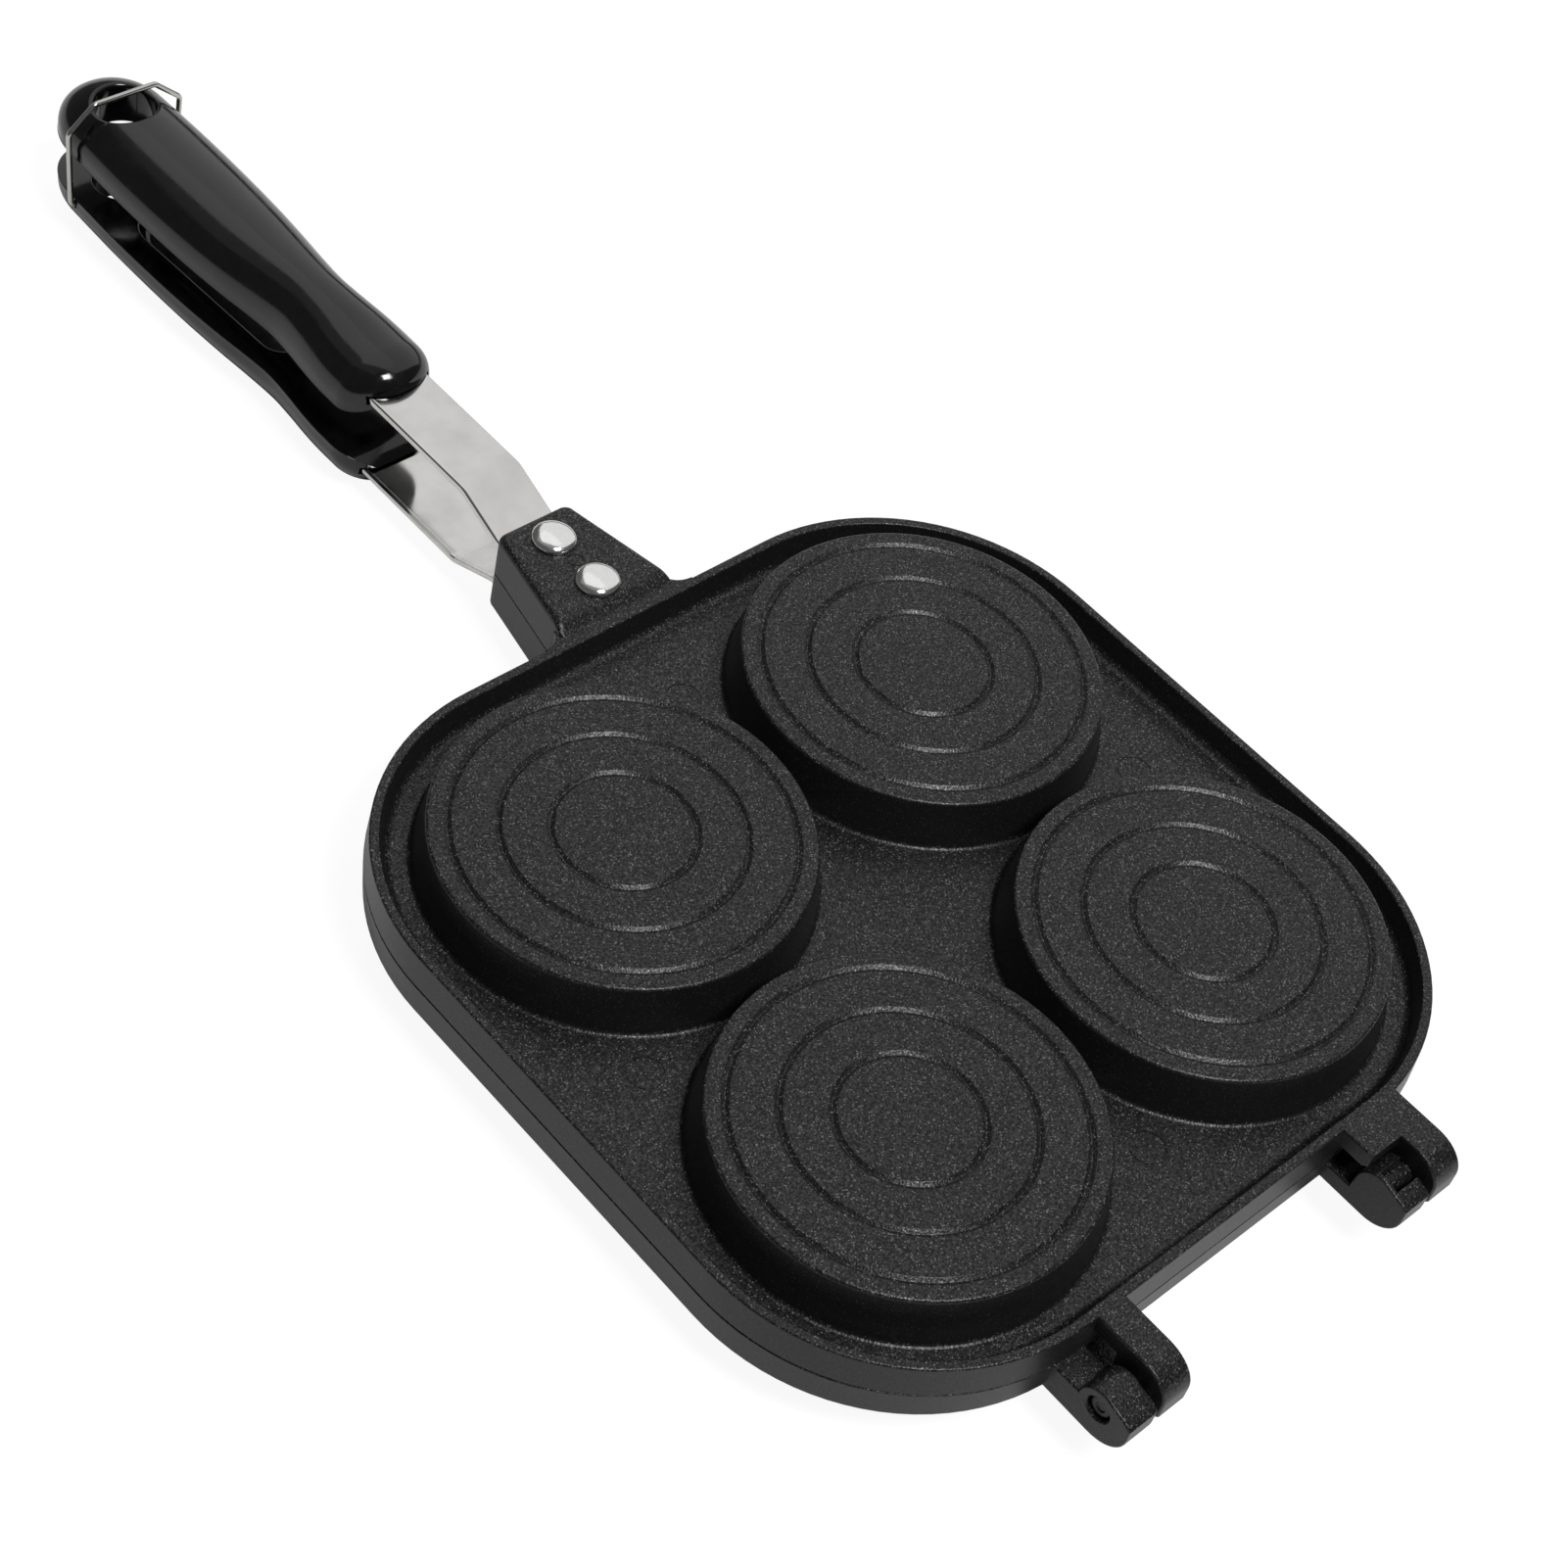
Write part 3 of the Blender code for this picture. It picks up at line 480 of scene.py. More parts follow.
def carved(base, changes):
    """Join tools to a shape or cut them out of it, and return the result as a mesh."""
    item = linked("carving", to_mesh(base, "carving"))
    tools = []
    for tool, operation in changes:
        tools.append(linked("carving_tool", to_mesh(tool, "carving_tool")))
        change = item.modifiers.new("carve", "BOOLEAN")
        change.operation = operation
        change.solver = "EXACT"
        change.object = tools[-1]
    bpy.context.view_layer.update()
    graph = bpy.context.evaluated_depsgraph_get()
    mesh = bpy.data.meshes.new_from_object(item.evaluated_get(graph))
    for used in tools + [item]:
        bpy.data.objects.remove(used, do_unlink=True)
    tidy = bmesh.new()
    tidy.from_mesh(mesh)
    bmesh.ops.remove_doubles(tidy, verts=tidy.verts, dist=MERGE)
    bmesh.ops.dissolve_degenerate(tidy, edges=tidy.edges, dist=MERGE)
    bmesh.ops.holes_fill(tidy, edges=tidy.edges, sides=4)
    bmesh.ops.recalc_face_normals(tidy, faces=tidy.faces)
    tidy.to_mesh(mesh)
    tidy.free()
    return mesh


def add_piece(name, mesh, finish, body, cad_node, matrix):
    """Link a finished piece at its place, smooth it, and let it stand for its node."""
    mesh.transform(matrix)
    item = linked(name, mesh)
    mesh.materials.clear()
    mesh.materials.append(finishes(bpy.context.scene.pan_finish)[finish])
    mesh.shade_smooth()
    mesh.set_sharp_from_angle(angle=math.radians(SHARP_DEG))
    item.modifiers.new("even_shading", "WEIGHTED_NORMAL").keep_sharp = True
    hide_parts(cad_node)
    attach(item, body)


def add_to_halves(name, mesh, finish, cad_node):
    """Add a copy of a mesh to each half as its piece."""
    for half, matrix in HALVES.items():
        add_piece(
            f"{half}_{name}", mesh.copy(), finish, f"{half}_half", f"{half}_{cad_node}", matrix
        )
    return {"FINISHED"}


# Places that follow from the casting's sizes
def mould_pitch(sizes):
    """Distance between the middles of neighbouring moulds."""
    return 2 * sizes.mould_radius + MOULD_GAP


def rim_half(sizes):
    """Half the width of the tray."""
    return (
        mould_pitch(sizes) / 2 + sizes.mould_radius + MOULD_TO_RIM + WALL_DRAFT + sizes.lip_width
    )


def centre_y(sizes):
    """From the hinge axis to the middle of the tray."""
    return AXIS_TO_RIM + rim_half(sizes)


def rim_rear_y(sizes):
    """From the hinge axis to the tray's rear edge."""
    return centre_y(sizes) + rim_half(sizes)


def mould_places(sizes):
    """Middles of the four moulds."""
    reach = mould_pitch(sizes) / 2
    return [(x * reach, centre_y(sizes) + y * reach, 0) for x in (-1, 1) for y in (-1, 1)]


def rivet_places(sizes):
    """The y of the front and the rear rivet."""
    front = rim_rear_y(sizes) + RIVET_FRONT
    return {"front": front, "rear": front + RIVET_PITCH}


def tray(sizes):
    """Rounded square dish: outer wall, rim, inner wall, fillet and floor, stepped inwards."""
    half = rim_half(sizes)
    edge = sizes.lip_edge
    lip = sizes.lip_width
    top = sizes.lip_height
    low = HALF_GAP + MEETING_EDGE
    middle = centre_y(sizes)
    bm = block((-half, middle - half, low), (half, middle + half, top - edge))
    posts = [e for e in bm.edges if abs(e.verts[0].co.z - e.verts[1].co.z) > MERGE]
    round_edges(bm, posts, half - mould_pitch(sizes) / 2, CORNER_STEPS)
    foot = [v for v in bm.verts if v.co.z < (low + top) / 2]
    bulge = 1 + RIM_BULGE / half
    centred = Matrix.Translation((0, -middle, 0))
    bmesh.ops.scale(bm, vec=(bulge, bulge, 1), verts=foot, space=centred)
    bm.normal_update()
    base, *_, lid = sorted(bm.faces, key=lambda face: face.calc_center_median().z)
    fillet = sizes.floor_fillet
    floor = (lip + WALL_DRAFT + fillet, sizes.floor_height + fillet)
    points = arc((edge, top - edge), edge, 180, 90) + arc((lip - edge, top - edge), edge, 90, 0)
    climb(bm, lid, points + arc(floor, fillet, 180, 270, 2 * EDGE_STEPS))
    climb(bm, base, arc((MEETING_EDGE, -MEETING_EDGE), MEETING_EDGE, 180, 90))
    return bm


def groove_points(sizes, middle, top):
    """Cross-section of a ring groove: sloping walls between rounded shoulders and corners."""
    half = sizes.groove_width / 2
    slope = math.radians(GROOVE_WALL_DEG)
    radius = GROOVE_ROUNDING
    drop = sizes.groove_depth - 2 * radius * (1 - math.cos(slope))
    flat = half - 2 * radius * math.sin(slope) - drop / math.tan(slope)
    side = arc((-half, top - radius), radius, 90, 90 - GROOVE_WALL_DEG)
    side += arc((-flat, top - sizes.groove_depth + radius), radius, 270 - GROOVE_WALL_DEG, 270)
    return [(middle + x, z) for x, z in mirrored(side)]


def drum(sizes):
    """Mould: flat face with ring grooves, rounded edge, drafted side and a fillet at its foot."""
    top = sizes.mould_height
    top_radius = sizes.mould_radius - MOULD_DRAFT
    points = [(0, top)]
    for share in GROOVE_RADIUS_SHARES:
        points += groove_points(sizes, top_radius * share, top)
    edge = sizes.mould_edge
    points += arc((top_radius - edge, top - edge), edge, 90, 0)
    fillet = sizes.mould_fillet
    foot = (sizes.mould_radius + fillet, sizes.floor_height + fillet)
    points += arc(foot, fillet, 180, 270 - NEAR_FLAT_DEG)
    under = sizes.floor_height / 2
    return spun(points + [(points[-1][0], under), (0, under)], ROUND_STEPS)


def cavity(sizes):
    """Hollow under a mould, its mouth rounded at the meeting plane."""
    roof = sizes.mould_height - CAVITY_ROOF
    mouth = sizes.mould_radius - CAVITY_WALL
    corner = (mouth - CAVITY_DRAFT - CAVITY_EDGE, roof - CAVITY_EDGE)
    rim = (mouth + CAVITY_MOUTH_EDGE, HALF_GAP + CAVITY_MOUTH_EDGE)
    points = [(0, roof)] + arc(corner, CAVITY_EDGE, 90, 0)
    points += arc(rim, CAVITY_MOUTH_EDGE, 180, 270 - NEAR_FLAT_DEG)
    return spun(points + [(points[-1][0], -OVERRUN), (0, -OVERRUN)], ROUND_STEPS)


def ring_cutter(radius, height):
    """Thin ring that leaves an ejector mark in a flat face at a height."""
    half = MARK_WIDTH / 2
    side = [(-half, height + OVERRUN), (-half * MARK_BOTTOM_SHARE, height - MARK_DEPTH)]
    return spun([(radius + x, z) for x, z in mirrored(side) + side[:1]])


def lug_outline(sizes, neck, low):
    """Side view of a lug as (y, z): nose, toe, barrel on the meeting side, neck and root."""
    root = AXIS_TO_RIM + LUG_ROOT
    top = sizes.lip_height - LUG_DROP
    nose = []
    for across, up in arc((0, 0), 1, 90, 180, 2 * EDGE_STEPS):
        nose.append((across * NOSE_REACH, top - NOSE_ROUND_HEIGHT + up * NOSE_ROUND_HEIGHT))
    toe = [(-NOSE_REACH, -NOSE_TOE), (NOSE_CHAMFER - NOSE_REACH, -NOSE_TOE - NOSE_CHAMFER)]
    barrel = arc((0, 0), BARREL_RADIUS, BARREL_START_DEG, 360, 2 * EDGE_STEPS)
    return [(root, top)] + nose + toe + barrel + [(neck, low), (root, low)]


def rounded_prism(outline, low, high):
    """Pull a lug's outline along X and round both its rims."""
    bm, start, end = prism(outline, low, high, "X")
    round_edges(bm, list({*start.edges, *end.edges}), LUG_EDGE, EDGE_STEPS - 1)
    return bm


def hinge_changes(sizes):
    """Both lugs, the web between socket lug and tray, the bores and the open slot."""
    root = AXIS_TO_RIM + LUG_ROOT
    top = sizes.lip_height - 2 * LUG_DROP
    under = sizes.lip_height - LUG_DROP - WEB_THICKNESS
    chamfer = [(WEB_FRONT, under + WEB_CHAMFER), (WEB_FRONT + WEB_CHAMFER, under)]
    web = [(root, top), (WEB_FRONT, top), *chamfer, (root, under)]
    socket = PIN_LUG_OUTER_X + LUG_SIDE_GAP
    socket_end = socket + SOCKET_LUG_WIDTH
    solids = (
        (lug_outline(sizes, BARREL_RADIUS, HALF_GAP + LUG_DROP), socket, socket_end),
        (lug_outline(sizes, PIN_LUG_NECK, under), -PIN_LUG_OUTER_X, -PIN_LUG_INNER_X),
        (web, PIN_LUG_INNER_X, socket + SOCKET_LUG_WIDTH / 2),
    )
    bore = sizes.pin_radius + FIT
    through = [
        (0, socket - LUG_SIDE_GAP / 2),
        (bore, socket - LUG_SIDE_GAP / 2),
        (bore, socket_end - BORE_CHAMFER),
        (bore + 2 * BORE_CHAMFER, socket_end + BORE_CHAMFER),
        (0, socket_end + BORE_CHAMFER),
    ]
    pin_end = -PIN_LUG_OUTER_X - LUG_SIDE_GAP / 2
    slot = block(
        (pin_end, -SLOT_FRONT, -BARREL_RADIUS - OVERRUN),
        (-PIN_LUG_INNER_X - SLOT_CHEEK, SLOT_BACK, 0),
    )
    pocket = rod(bore, -PIN_LUG_INNER_X - PIN_BORE_END, pin_end, axis="X")
    changes = [(rounded_prism(*solid), "UNION") for solid in solids]
    return changes + [(cut, "DIFFERENCE") for cut in (spun(through, axis="X"), pocket, slot)]


def foot_plate(sizes):
    """Plate, as high as the rim, that widens the socket block at the tray."""
    wide = BLOCK_FRONT_HALF + BLOCK_FLARE
    rear = rim_rear_y(sizes) + FIT + BLOCK_FLARE_LENGTH
    side = [(wide, rim_rear_y(sizes) - LUG_ROOT)]
    for x, y in arc((0, 0), 1, 270, 180, 2 * EDGE_STEPS):
        side.append((wide + x * BLOCK_FLARE, rear + y * BLOCK_FLARE_LENGTH))
    side.append((BLOCK_REAR_HALF, rear))
    high = sizes.lip_height - LUG_DROP
    bm, _, top = prism(mirrored(side), HALF_GAP + LUG_DROP, high, "Z")
    round_edges(bm, list(top.edges), sizes.lip_edge)
    return bm


def socket_block(sizes):
    """Tapering block with rounded corners and top edge, whose front falls to the rim in an S."""
    front = rim_rear_y(sizes) - FIT
    rear = rim_rear_y(sizes) + BLOCK_REAR
    corner = (BLOCK_REAR_HALF - BLOCK_CORNER, rear - BLOCK_CORNER)
    nose = (BLOCK_FRONT_HALF - BLOCK_CORNER, front + BLOCK_CORNER)
    side = arc(nose, BLOCK_CORNER, 270, 360) + arc(corner, BLOCK_CORNER, 0, 90)
    bm, _, top = prism(mirrored(side), HALF_GAP + 2 * LUG_DROP, BLOCK_TOP, "Z")
    round_edges(bm, list(top.edges), BLOCK_EDGE, EDGE_STEPS + 1)
    for step in range(1, BLOCK_RAMP_STEPS + 1):
        cut = (0, front + BLOCK_RAMP * step / BLOCK_RAMP_STEPS, 0)
        bmesh.ops.bisect_plane(bm, geom=whole(bm), dist=MERGE, plane_co=cut, plane_no=(0, 1, 0))
    foot = sizes.lip_height - 2 * LUG_DROP
    for vert in bm.verts:
        share = min((vert.co.y - front) / BLOCK_RAMP, 1)
        if vert.co.z > foot:
            vert.co.z = foot + (vert.co.z - foot) * (1 - math.cos(math.pi * share)) / 2
    return bm


def rivet_holes(sizes, low, high):
    """The cuts for both rivets' shanks."""
    hole = RIVET_SHANK_RADIUS + FIT
    return [
        (moved(rod(hole, low, high), (0, y, 0)), "DIFFERENCE")
        for y in rivet_places(sizes).values()
    ]


def block_changes(sizes, hardware):
    """Foot plate, block, the strap's channel, the rivets' holes and an ejector ring."""
    width = hardware.strap_half + FIT
    rear = rim_rear_y(sizes)
    channel = block(
        (-width, rear + CHANNEL_START, -OVERRUN),
        (width, rear + BLOCK_REAR + OVERRUN, CHANNEL_HEIGHT),
    )
    middle = sum(rivet_places(sizes).values()) / 2
    mark = moved(ring_cutter(BLOCK_MARK_RADIUS, BLOCK_TOP), (0, middle, 0))
    return [
        (foot_plate(sizes), "UNION"),
        (socket_block(sizes), "UNION"),
        (channel, "DIFFERENCE"),
        *rivet_holes(sizes, HALF_GAP, BLOCK_TOP + OVERRUN),
        (mark, "DIFFERENCE"),
    ]


def casting_mesh(sizes, hardware):
    """The whole casting of a half."""
    places = mould_places(sizes)
    changes = [(moved(drum(sizes), place), "UNION") for place in places]
    changes += hinge_changes(sizes) + block_changes(sizes, hardware)
    changes += [(moved(cavity(sizes), place), "DIFFERENCE") for place in places]
    for x, y in ((0, -1), (0, 1), (-1, 0), (1, 0)):
        mark = ring_cutter(MARK_RADIUS, sizes.floor_height)
        place = (x * MARK_DISTANCE, centre_y(sizes) + y * MARK_DISTANCE, 0)
        changes.append((moved(mark, place), "DIFFERENCE"))
    return carved(tray(sizes), changes)


def pin_mesh(sizes):
    """Hinge pin with chamfered ends, held by its own lug and reaching into the other half's."""
    start = -PIN_LUG_INNER_X - PIN_BORE_END - FIT
    end = -PIN_LUG_OUTER_X - LUG_SIDE_GAP - SOCKET_LUG_WIDTH + PIN_RECESS
    radius = sizes.pin_radius
    profile = [(0, start), (radius - PIN_CHAMFER, start), (radius, start - PIN_CHAMFER)]
    profile += [(radius, end + PIN_CHAMFER)]
    profile += arc((radius - PIN_CHAMFER, end + PIN_CHAMFER), PIN_CHAMFER, 0, -90)
    profile += [(radius / 2, end), (radius / 2 - FIT, end + FIT), (0, end + FIT)]
    return to_mesh(spun(profile, axis="X"), "hinge_pin")


def strap_mesh(sizes, hardware):
    """Strap: a channel section, drawn and bent along its path, thickened, edged and drilled."""
    rear = rim_rear_y(sizes)
    low = CHANNEL_HEIGHT - FIT
    path = (
        (STRAP_START, low),
        (STRAP_RISE_START, low),
        (STRAP_RISE_END, STRAP_HEIGHT),
        (GRIP_START + STRAP_INSET, STRAP_HEIGHT),
    )
    corners = [Vector((0, rear + y, z)) for y, z in path]
    fold = (hardware.strap_half - STRAP_FOLD_RADIUS, -STRAP_FOLD_RADIUS)
    flange = (hardware.strap_half, -STRAP_FLANGE)
    section = mirrored([flange] + arc(fold, STRAP_FOLD_RADIUS, 0, 90))
    bm = bmesh.new()
    row = [bm.verts.new(corners[0] + Vector((x, 0, z))) for x, z in section]
    edges = [bm.edges.new(pair) for pair in zip(row, row[1:])]
    swept(bm, edges, corners, STRAP_BEND_RADIUS)
    cleaned(bm)
    if sum(face.normal.z for face in bm.faces) < 0:
        bmesh.ops.reverse_faces(bm, faces=bm.faces)
    bmesh.ops.solidify(bm, geom=bm.faces, thickness=hardware.strap_sheet)
    bmesh.ops.recalc_face_normals(bm, faces=bm.faces)
    crease = math.radians(STRAP_CREASE_DEG)
    creases = [e for e in bm.edges if len(e.link_faces) == 2 and e.calc_face_angle(0) > crease]
    round_edges(bm, creases, STRAP_EDGE, STRAP_EDGE_STEPS)
    return carved(bm, rivet_holes(sizes, 0, BLOCK_TOP))


def rivet_mesh(hardware, y):
    """Rivet at a distance from the hinge: domed head with a thin lip, shank and headed tail."""
    head = BLOCK_TOP + HALF_GAP
    tail = CHANNEL_HEIGHT - FIT - hardware.strap_sheet - FIT
    radius = hardware.rivet_radius
    rise = hardware.rivet_height - RIVET_LIP
    dome = arc((0, 0), 1, 90, 0, 3 * EDGE_STEPS)
    profile = [(x * radius, head + RIVET_LIP + z * rise) for x, z in dome]
    profile += [
        (radius, head),
        (RIVET_SHANK_RADIUS, head),
        (RIVET_SHANK_RADIUS, tail),
        (RIVET_TAIL_RADIUS, tail),
        (RIVET_TAIL_RADIUS, tail - RIVET_TAIL_HEIGHT / 2),
        (RIVET_SHANK_RADIUS, tail - RIVET_TAIL_HEIGHT),
        (0, tail - RIVET_TAIL_HEIGHT),
    ]
    return to_mesh(moved(spun(profile), (0, y, 0)), "rivet")


def grip_row(place):
    """Half width and crown at a share of the body, on a smooth curve through the rows."""
    last = len(GRIP_SHARES) - 1
    index = 0
    while index < last - 1 and GRIP_SHARES[index + 1][0] < place:
        index += 1
    low = GRIP_SHARES[index]
    high = GRIP_SHARES[index + 1]
    before = GRIP_SHARES[max(index - 1, 0)]
    after = GRIP_SHARES[min(index + 2, last)]
    span = high[0] - low[0]
    t = (place - low[0]) / span
    values = []
    for column in (1, 2):
        start = (high[column] - before[column]) / (high[0] - before[0]) * span
        end = (after[column] - low[column]) / (after[0] - low[0]) * span
        values.append(
            (2 * t ** 3 - 3 * t ** 2 + 1) * low[column] + (t ** 3 - 2 * t ** 2 + t) * start
            + (3 * t ** 2 - 2 * t ** 3) * high[column] + (t ** 3 - t ** 2) * end
        )
    return values


def end_steps(span, degrees, steps):
    """Steps round a grip's end as (distance along it, share of the section)."""
    reach = span / math.sin(math.radians(degrees))
    return [(reach * along, share) for share, along in arc((0, 0), 1, 0, degrees, steps)[1:]]


def grip_stations(sizes, grip):
    """Stations from nose to end as (y, half width, rise, depth of the flat, nose's shrink)."""
    start = rim_rear_y(sizes) + GRIP_START + GRIP_NOSE_LENGTH
    body = grip.length - GRIP_NOSE_LENGTH - GRIP_END_LENGTH
    half = grip.half_width
    rise = grip.crown - GRIP_WIDEST
    flat = GRIP_FLAT_DEPTH
    _, width, crown = GRIP_SHARES[0]
    stations = []
    for along, share in end_steps(GRIP_NOSE_LENGTH, GRIP_NOSE_DEG, GRIP_NOSE_STATIONS)[::-1]:
        stations.append((start - along, half * width, rise * crown, flat, share))
    for step in range(GRIP_BODY_STATIONS + 1):
        place = step / GRIP_BODY_STATIONS
        width, crown = grip_row(place)
        stations.append((start + body * place, half * width, rise * crown, flat, 1))
    for along, share in end_steps(GRIP_END_LENGTH, GRIP_END_DEG, GRIP_END_STATIONS):
        y = start + body + along
        stations.append((y, half * width * share, rise * crown * share, flat * share ** 0.5, 1))
    return stations


def dome_height(x, half, rise):
    """Height of the back above the widest plane."""
    share = min(abs(x) / half, 1)
    return rise * (1 - share ** GRIP_DOME_POWER) ** (1 / GRIP_DOME_POWER)


def grip_outline(half, rise, depth):
    """Cross-section as (x, z): parting line at the edge, low side, dome, back along the flat."""
    edge = min(GRIP_EDGE, half / 4)
    outer = half + PARTING_LINE_HEIGHT
    tall = depth / GRIP_FLAT_DEPTH
    side = [
        (outer - edge + edge * x, GRIP_WIDEST - depth + edge * tall * (1 + z))
        for x, z in arc((0, 0), 1, 270, 350, GRIP_CORNER_STEPS)
    ]
    ridge = PARTING_LINE_WIDTH * tall
    side += [(half, side[-1][1] + ridge), (half, GRIP_WIDEST)]
    power = 2 / GRIP_DOME_POWER
    dome = []
    for across, up in arc((0, 0), 1, 0, 180, GRIP_DOME_STEPS)[1:-1]:
        x = half * math.copysign(abs(across) ** power, across)
        dome.append((x, GRIP_WIDEST + rise * up ** power))
    points = side + dome + mirrored(side)[len(side):]
    x, z = points[-1]
    shares = [step / GRIP_FLAT_STEPS for step in range(1, GRIP_FLAT_STEPS)]
    return points + [(x * (1 - 2 * share), z) for share in shares]


def grip_body(sizes, grip):
    """Spin a unit tube with a ring at each station, then draw each ring to its outline."""
    stations = grip_stations(sizes, grip)
    outlines = [grip_outline(half, rise, depth) for _, half, rise, depth, _ in stations]
    steps = len(outlines[0])
    profile = [(0, 0)] + [(1, n) for n in range(len(stations))] + [(0, len(stations) - 1)]
    bm = spun(profile, steps, "Y")
    for vert in bm.verts:
        ring = round(vert.co.y)
        y, _, rise, _, shrink = stations[ring]
        turn = math.atan2(vert.co.z, vert.co.x) % math.tau
        x, z = outlines[ring][round(turn / math.tau * steps) % steps]
        if math.hypot(vert.co.x, vert.co.z) < 0.5:
            x, z = 0, GRIP_WIDEST + rise / 3
        vert.co = (x * shrink, y, GRIP_NOSE_HEIGHT + (z - GRIP_NOSE_HEIGHT) * shrink)
    return cleaned(bm)


def hole_cutter(sizes, grip):
    """Hanging hole with rounded rims: its upper rim is laid on the domed back."""
    tall = grip.crown
    low = (grip.hole_radius + HOLE_FLAT_EDGE, HOLE_FLAT_EDGE)
    high = (grip.hole_radius + HOLE_EDGE, tall - HOLE_EDGE)
    rims = arc(low, HOLE_FLAT_EDGE, 270 - NEAR_FLAT_DEG, 180)
    rims += arc(high, HOLE_EDGE, 180, 90 + NEAR_FLAT_DEG, EDGE_STEPS + 1)
    profile = [(0, -OVERRUN), (rims[0][0], -OVERRUN)] + rims
    profile += [(rims[-1][0], tall + OVERRUN), (0, tall + OVERRUN)]
    bm = spun(profile, ROUND_STEPS)
    stations = grip_stations(sizes, grip)
    for vert in bm.verts:
        x, y, z = vert.co + Vector((0, WIRE_Y, 0))
        height = GRIP_FLAT + z
        if z > tall / 2:
            before, after = next(pair for pair in zip(stations, stations[1:]) if pair[1][0] > y)
            share = (y - before[0]) / (after[0] - before[0])
            half, rise = (a + (b - a) * share for a, b in zip(before[1:3], after[1:3]))
            height = GRIP_WIDEST + dome_height(x, half, rise) + z - tall
        vert.co = (x, y, height)
    return bm


def pocket_cutter(sizes):
    """Long recess in the flat side: rounded rim, round ends and a rounded floor."""
    start = rim_rear_y(sizes) + GRIP_START + POCKET_START
    front = (0, start + POCKET_FRONT_RADIUS)
    rear = (0, start + POCKET_LENGTH - POCKET_REAR_RADIUS)
    outline = arc(front, POCKET_FRONT_RADIUS + POCKET_EDGE, 180, 360, POCKET_STEPS)
    outline += arc(rear, POCKET_REAR_RADIUS + POCKET_EDGE, 0, 180, POCKET_STEPS)
    bm, _, end = prism(outline, GRIP_FLAT - OVERRUN, GRIP_FLAT, "Z")
    middle = (POCKET_EDGE + POCKET_FLOOR_EDGE, POCKET_DEPTH - POCKET_FLOOR_EDGE)
    points = arc((0, POCKET_EDGE), POCKET_EDGE, 270, 360)
    climb(bm, end, points + arc(middle, POCKET_FLOOR_EDGE, 180, 90, 2 * EDGE_STEPS))
    return bm


def mouth_cutter(sizes, hardware):
    """Opening that takes the strap, with a little room at its edges."""
    width = hardware.strap_half + MOUTH_SIDE_GAP
    start = rim_rear_y(sizes) + GRIP_START
    return block(
        (-width, start - OVERRUN, STRAP_HEIGHT - STRAP_FLANGE - FIT),
        (width, start + STRAP_INSET + FIT, STRAP_HEIGHT + FIT),
    )


def grip_mesh(sizes, grip, hardware, holds_wire):
    """A grip with its hole, pocket and mouth, and the wire's holes on the lower one."""
    changes = [
        (hole_cutter(sizes, grip), "DIFFERENCE"),
        (pocket_cutter(sizes), "DIFFERENCE"),
        (mouth_cutter(sizes, hardware), "DIFFERENCE"),
    ]
    if holds_wire:
        inner = wire_hook_x(grip) - FIT
        outer = grip.half_width + OVERRUN
        for side in (-1, 1):
            hole = rod(hardware.wire_radius + FIT, side * inner, side * outer, WIRE_STEPS, "X")
            place = (0, WIRE_Y, GRIP_WIDEST)
            changes.append((moved(hole, place), "DIFFERENCE"))
    return carved(grip_body(sizes, grip), changes)


def wire_hook_x(grip):
    """Where the wire's hooked ends stop, inside the lower grip."""
    return grip.half_width * GRIP_SHARES[-1][1] - WIRE_HOOK


def wire_mesh(grip, hardware):
    """Half of the loop is drawn and bent from its hook to the bar's middle, then mirrored."""
    hook = wire_hook_x(grip)
    leg = hook + WIRE_HOOK + WIRE_SIDE_GAP + hardware.wire_radius
    top = grip.crown + hardware.wire_radius + GRIP_WIDEST
    shoulder = (leg + WIRE_SPLAY, top - WIRE_SHOULDER_DROP)
    path = ((hook, 0), (leg, 0), shoulder, (WIRE_TOP_HALF, top), (0, top))
    corners = [Vector((x, 0, z)) for x, z in path]
    bm = bmesh.new()
    ring = bmesh.ops.create_circle(
        bm, cap_ends=True, segments=WIRE_STEPS, radius=hardware.wire_radius,
        matrix=Matrix.Translation(corners[0]) @ Matrix.Rotation(math.pi / 2, 4, "Y"),
    )["verts"]
    edges = list({edge for vert in ring for edge in vert.link_edges})
    swept(bm, edges, corners, WIRE_BEND_RADIUS)
    bmesh.ops.remove_doubles(bm, verts=bm.verts, dist=MERGE)
    bmesh.ops.mirror(bm, geom=whole(bm), axis="X", merge_dist=MERGE)
    return to_mesh(cleaned(bm), "wire")


def node(tree, kind, settings=None, **links):
    """Add a node, set its properties, values and colour stops, link it, and return its outputs."""
    made = tree.nodes.new(f"ShaderNode{kind}")
    sockets = {socket.identifier: socket for socket in made.inputs}
    for key, value in (settings or {}).items():
        if key == "stops":
            for stop, (position, shade) in zip(made.color_ramp.elements, value):
                stop.position = position
                stop.color = (shade, shade, shade, 1) if isinstance(shade, float) else (*shade, 1)
        elif key in sockets:
            sockets[key].default_value = value
        else:
            setattr(made, key, value)
    for key, source in links.items():
        tree.links.new(source, sockets[key])
    return made.outputs


def new_material(name, **values):
    """A material with values on its shader's own sockets, and its place on Object coordinates."""
    material = bpy.data.materials.new(name)
    material.use_nodes = True
    tree = material.node_tree
    for key, value in values.items():
        tree.nodes["Principled BSDF"].inputs[key].default_value = value
    return material, tree, node(tree, "TexCoord")["Object"]


def feed_shader(tree, links):
    """Link patterns to the inputs of a material's shader."""
    for key, source in links.items():
        tree.links.new(source, tree.nodes["Principled BSDF"].inputs[key])


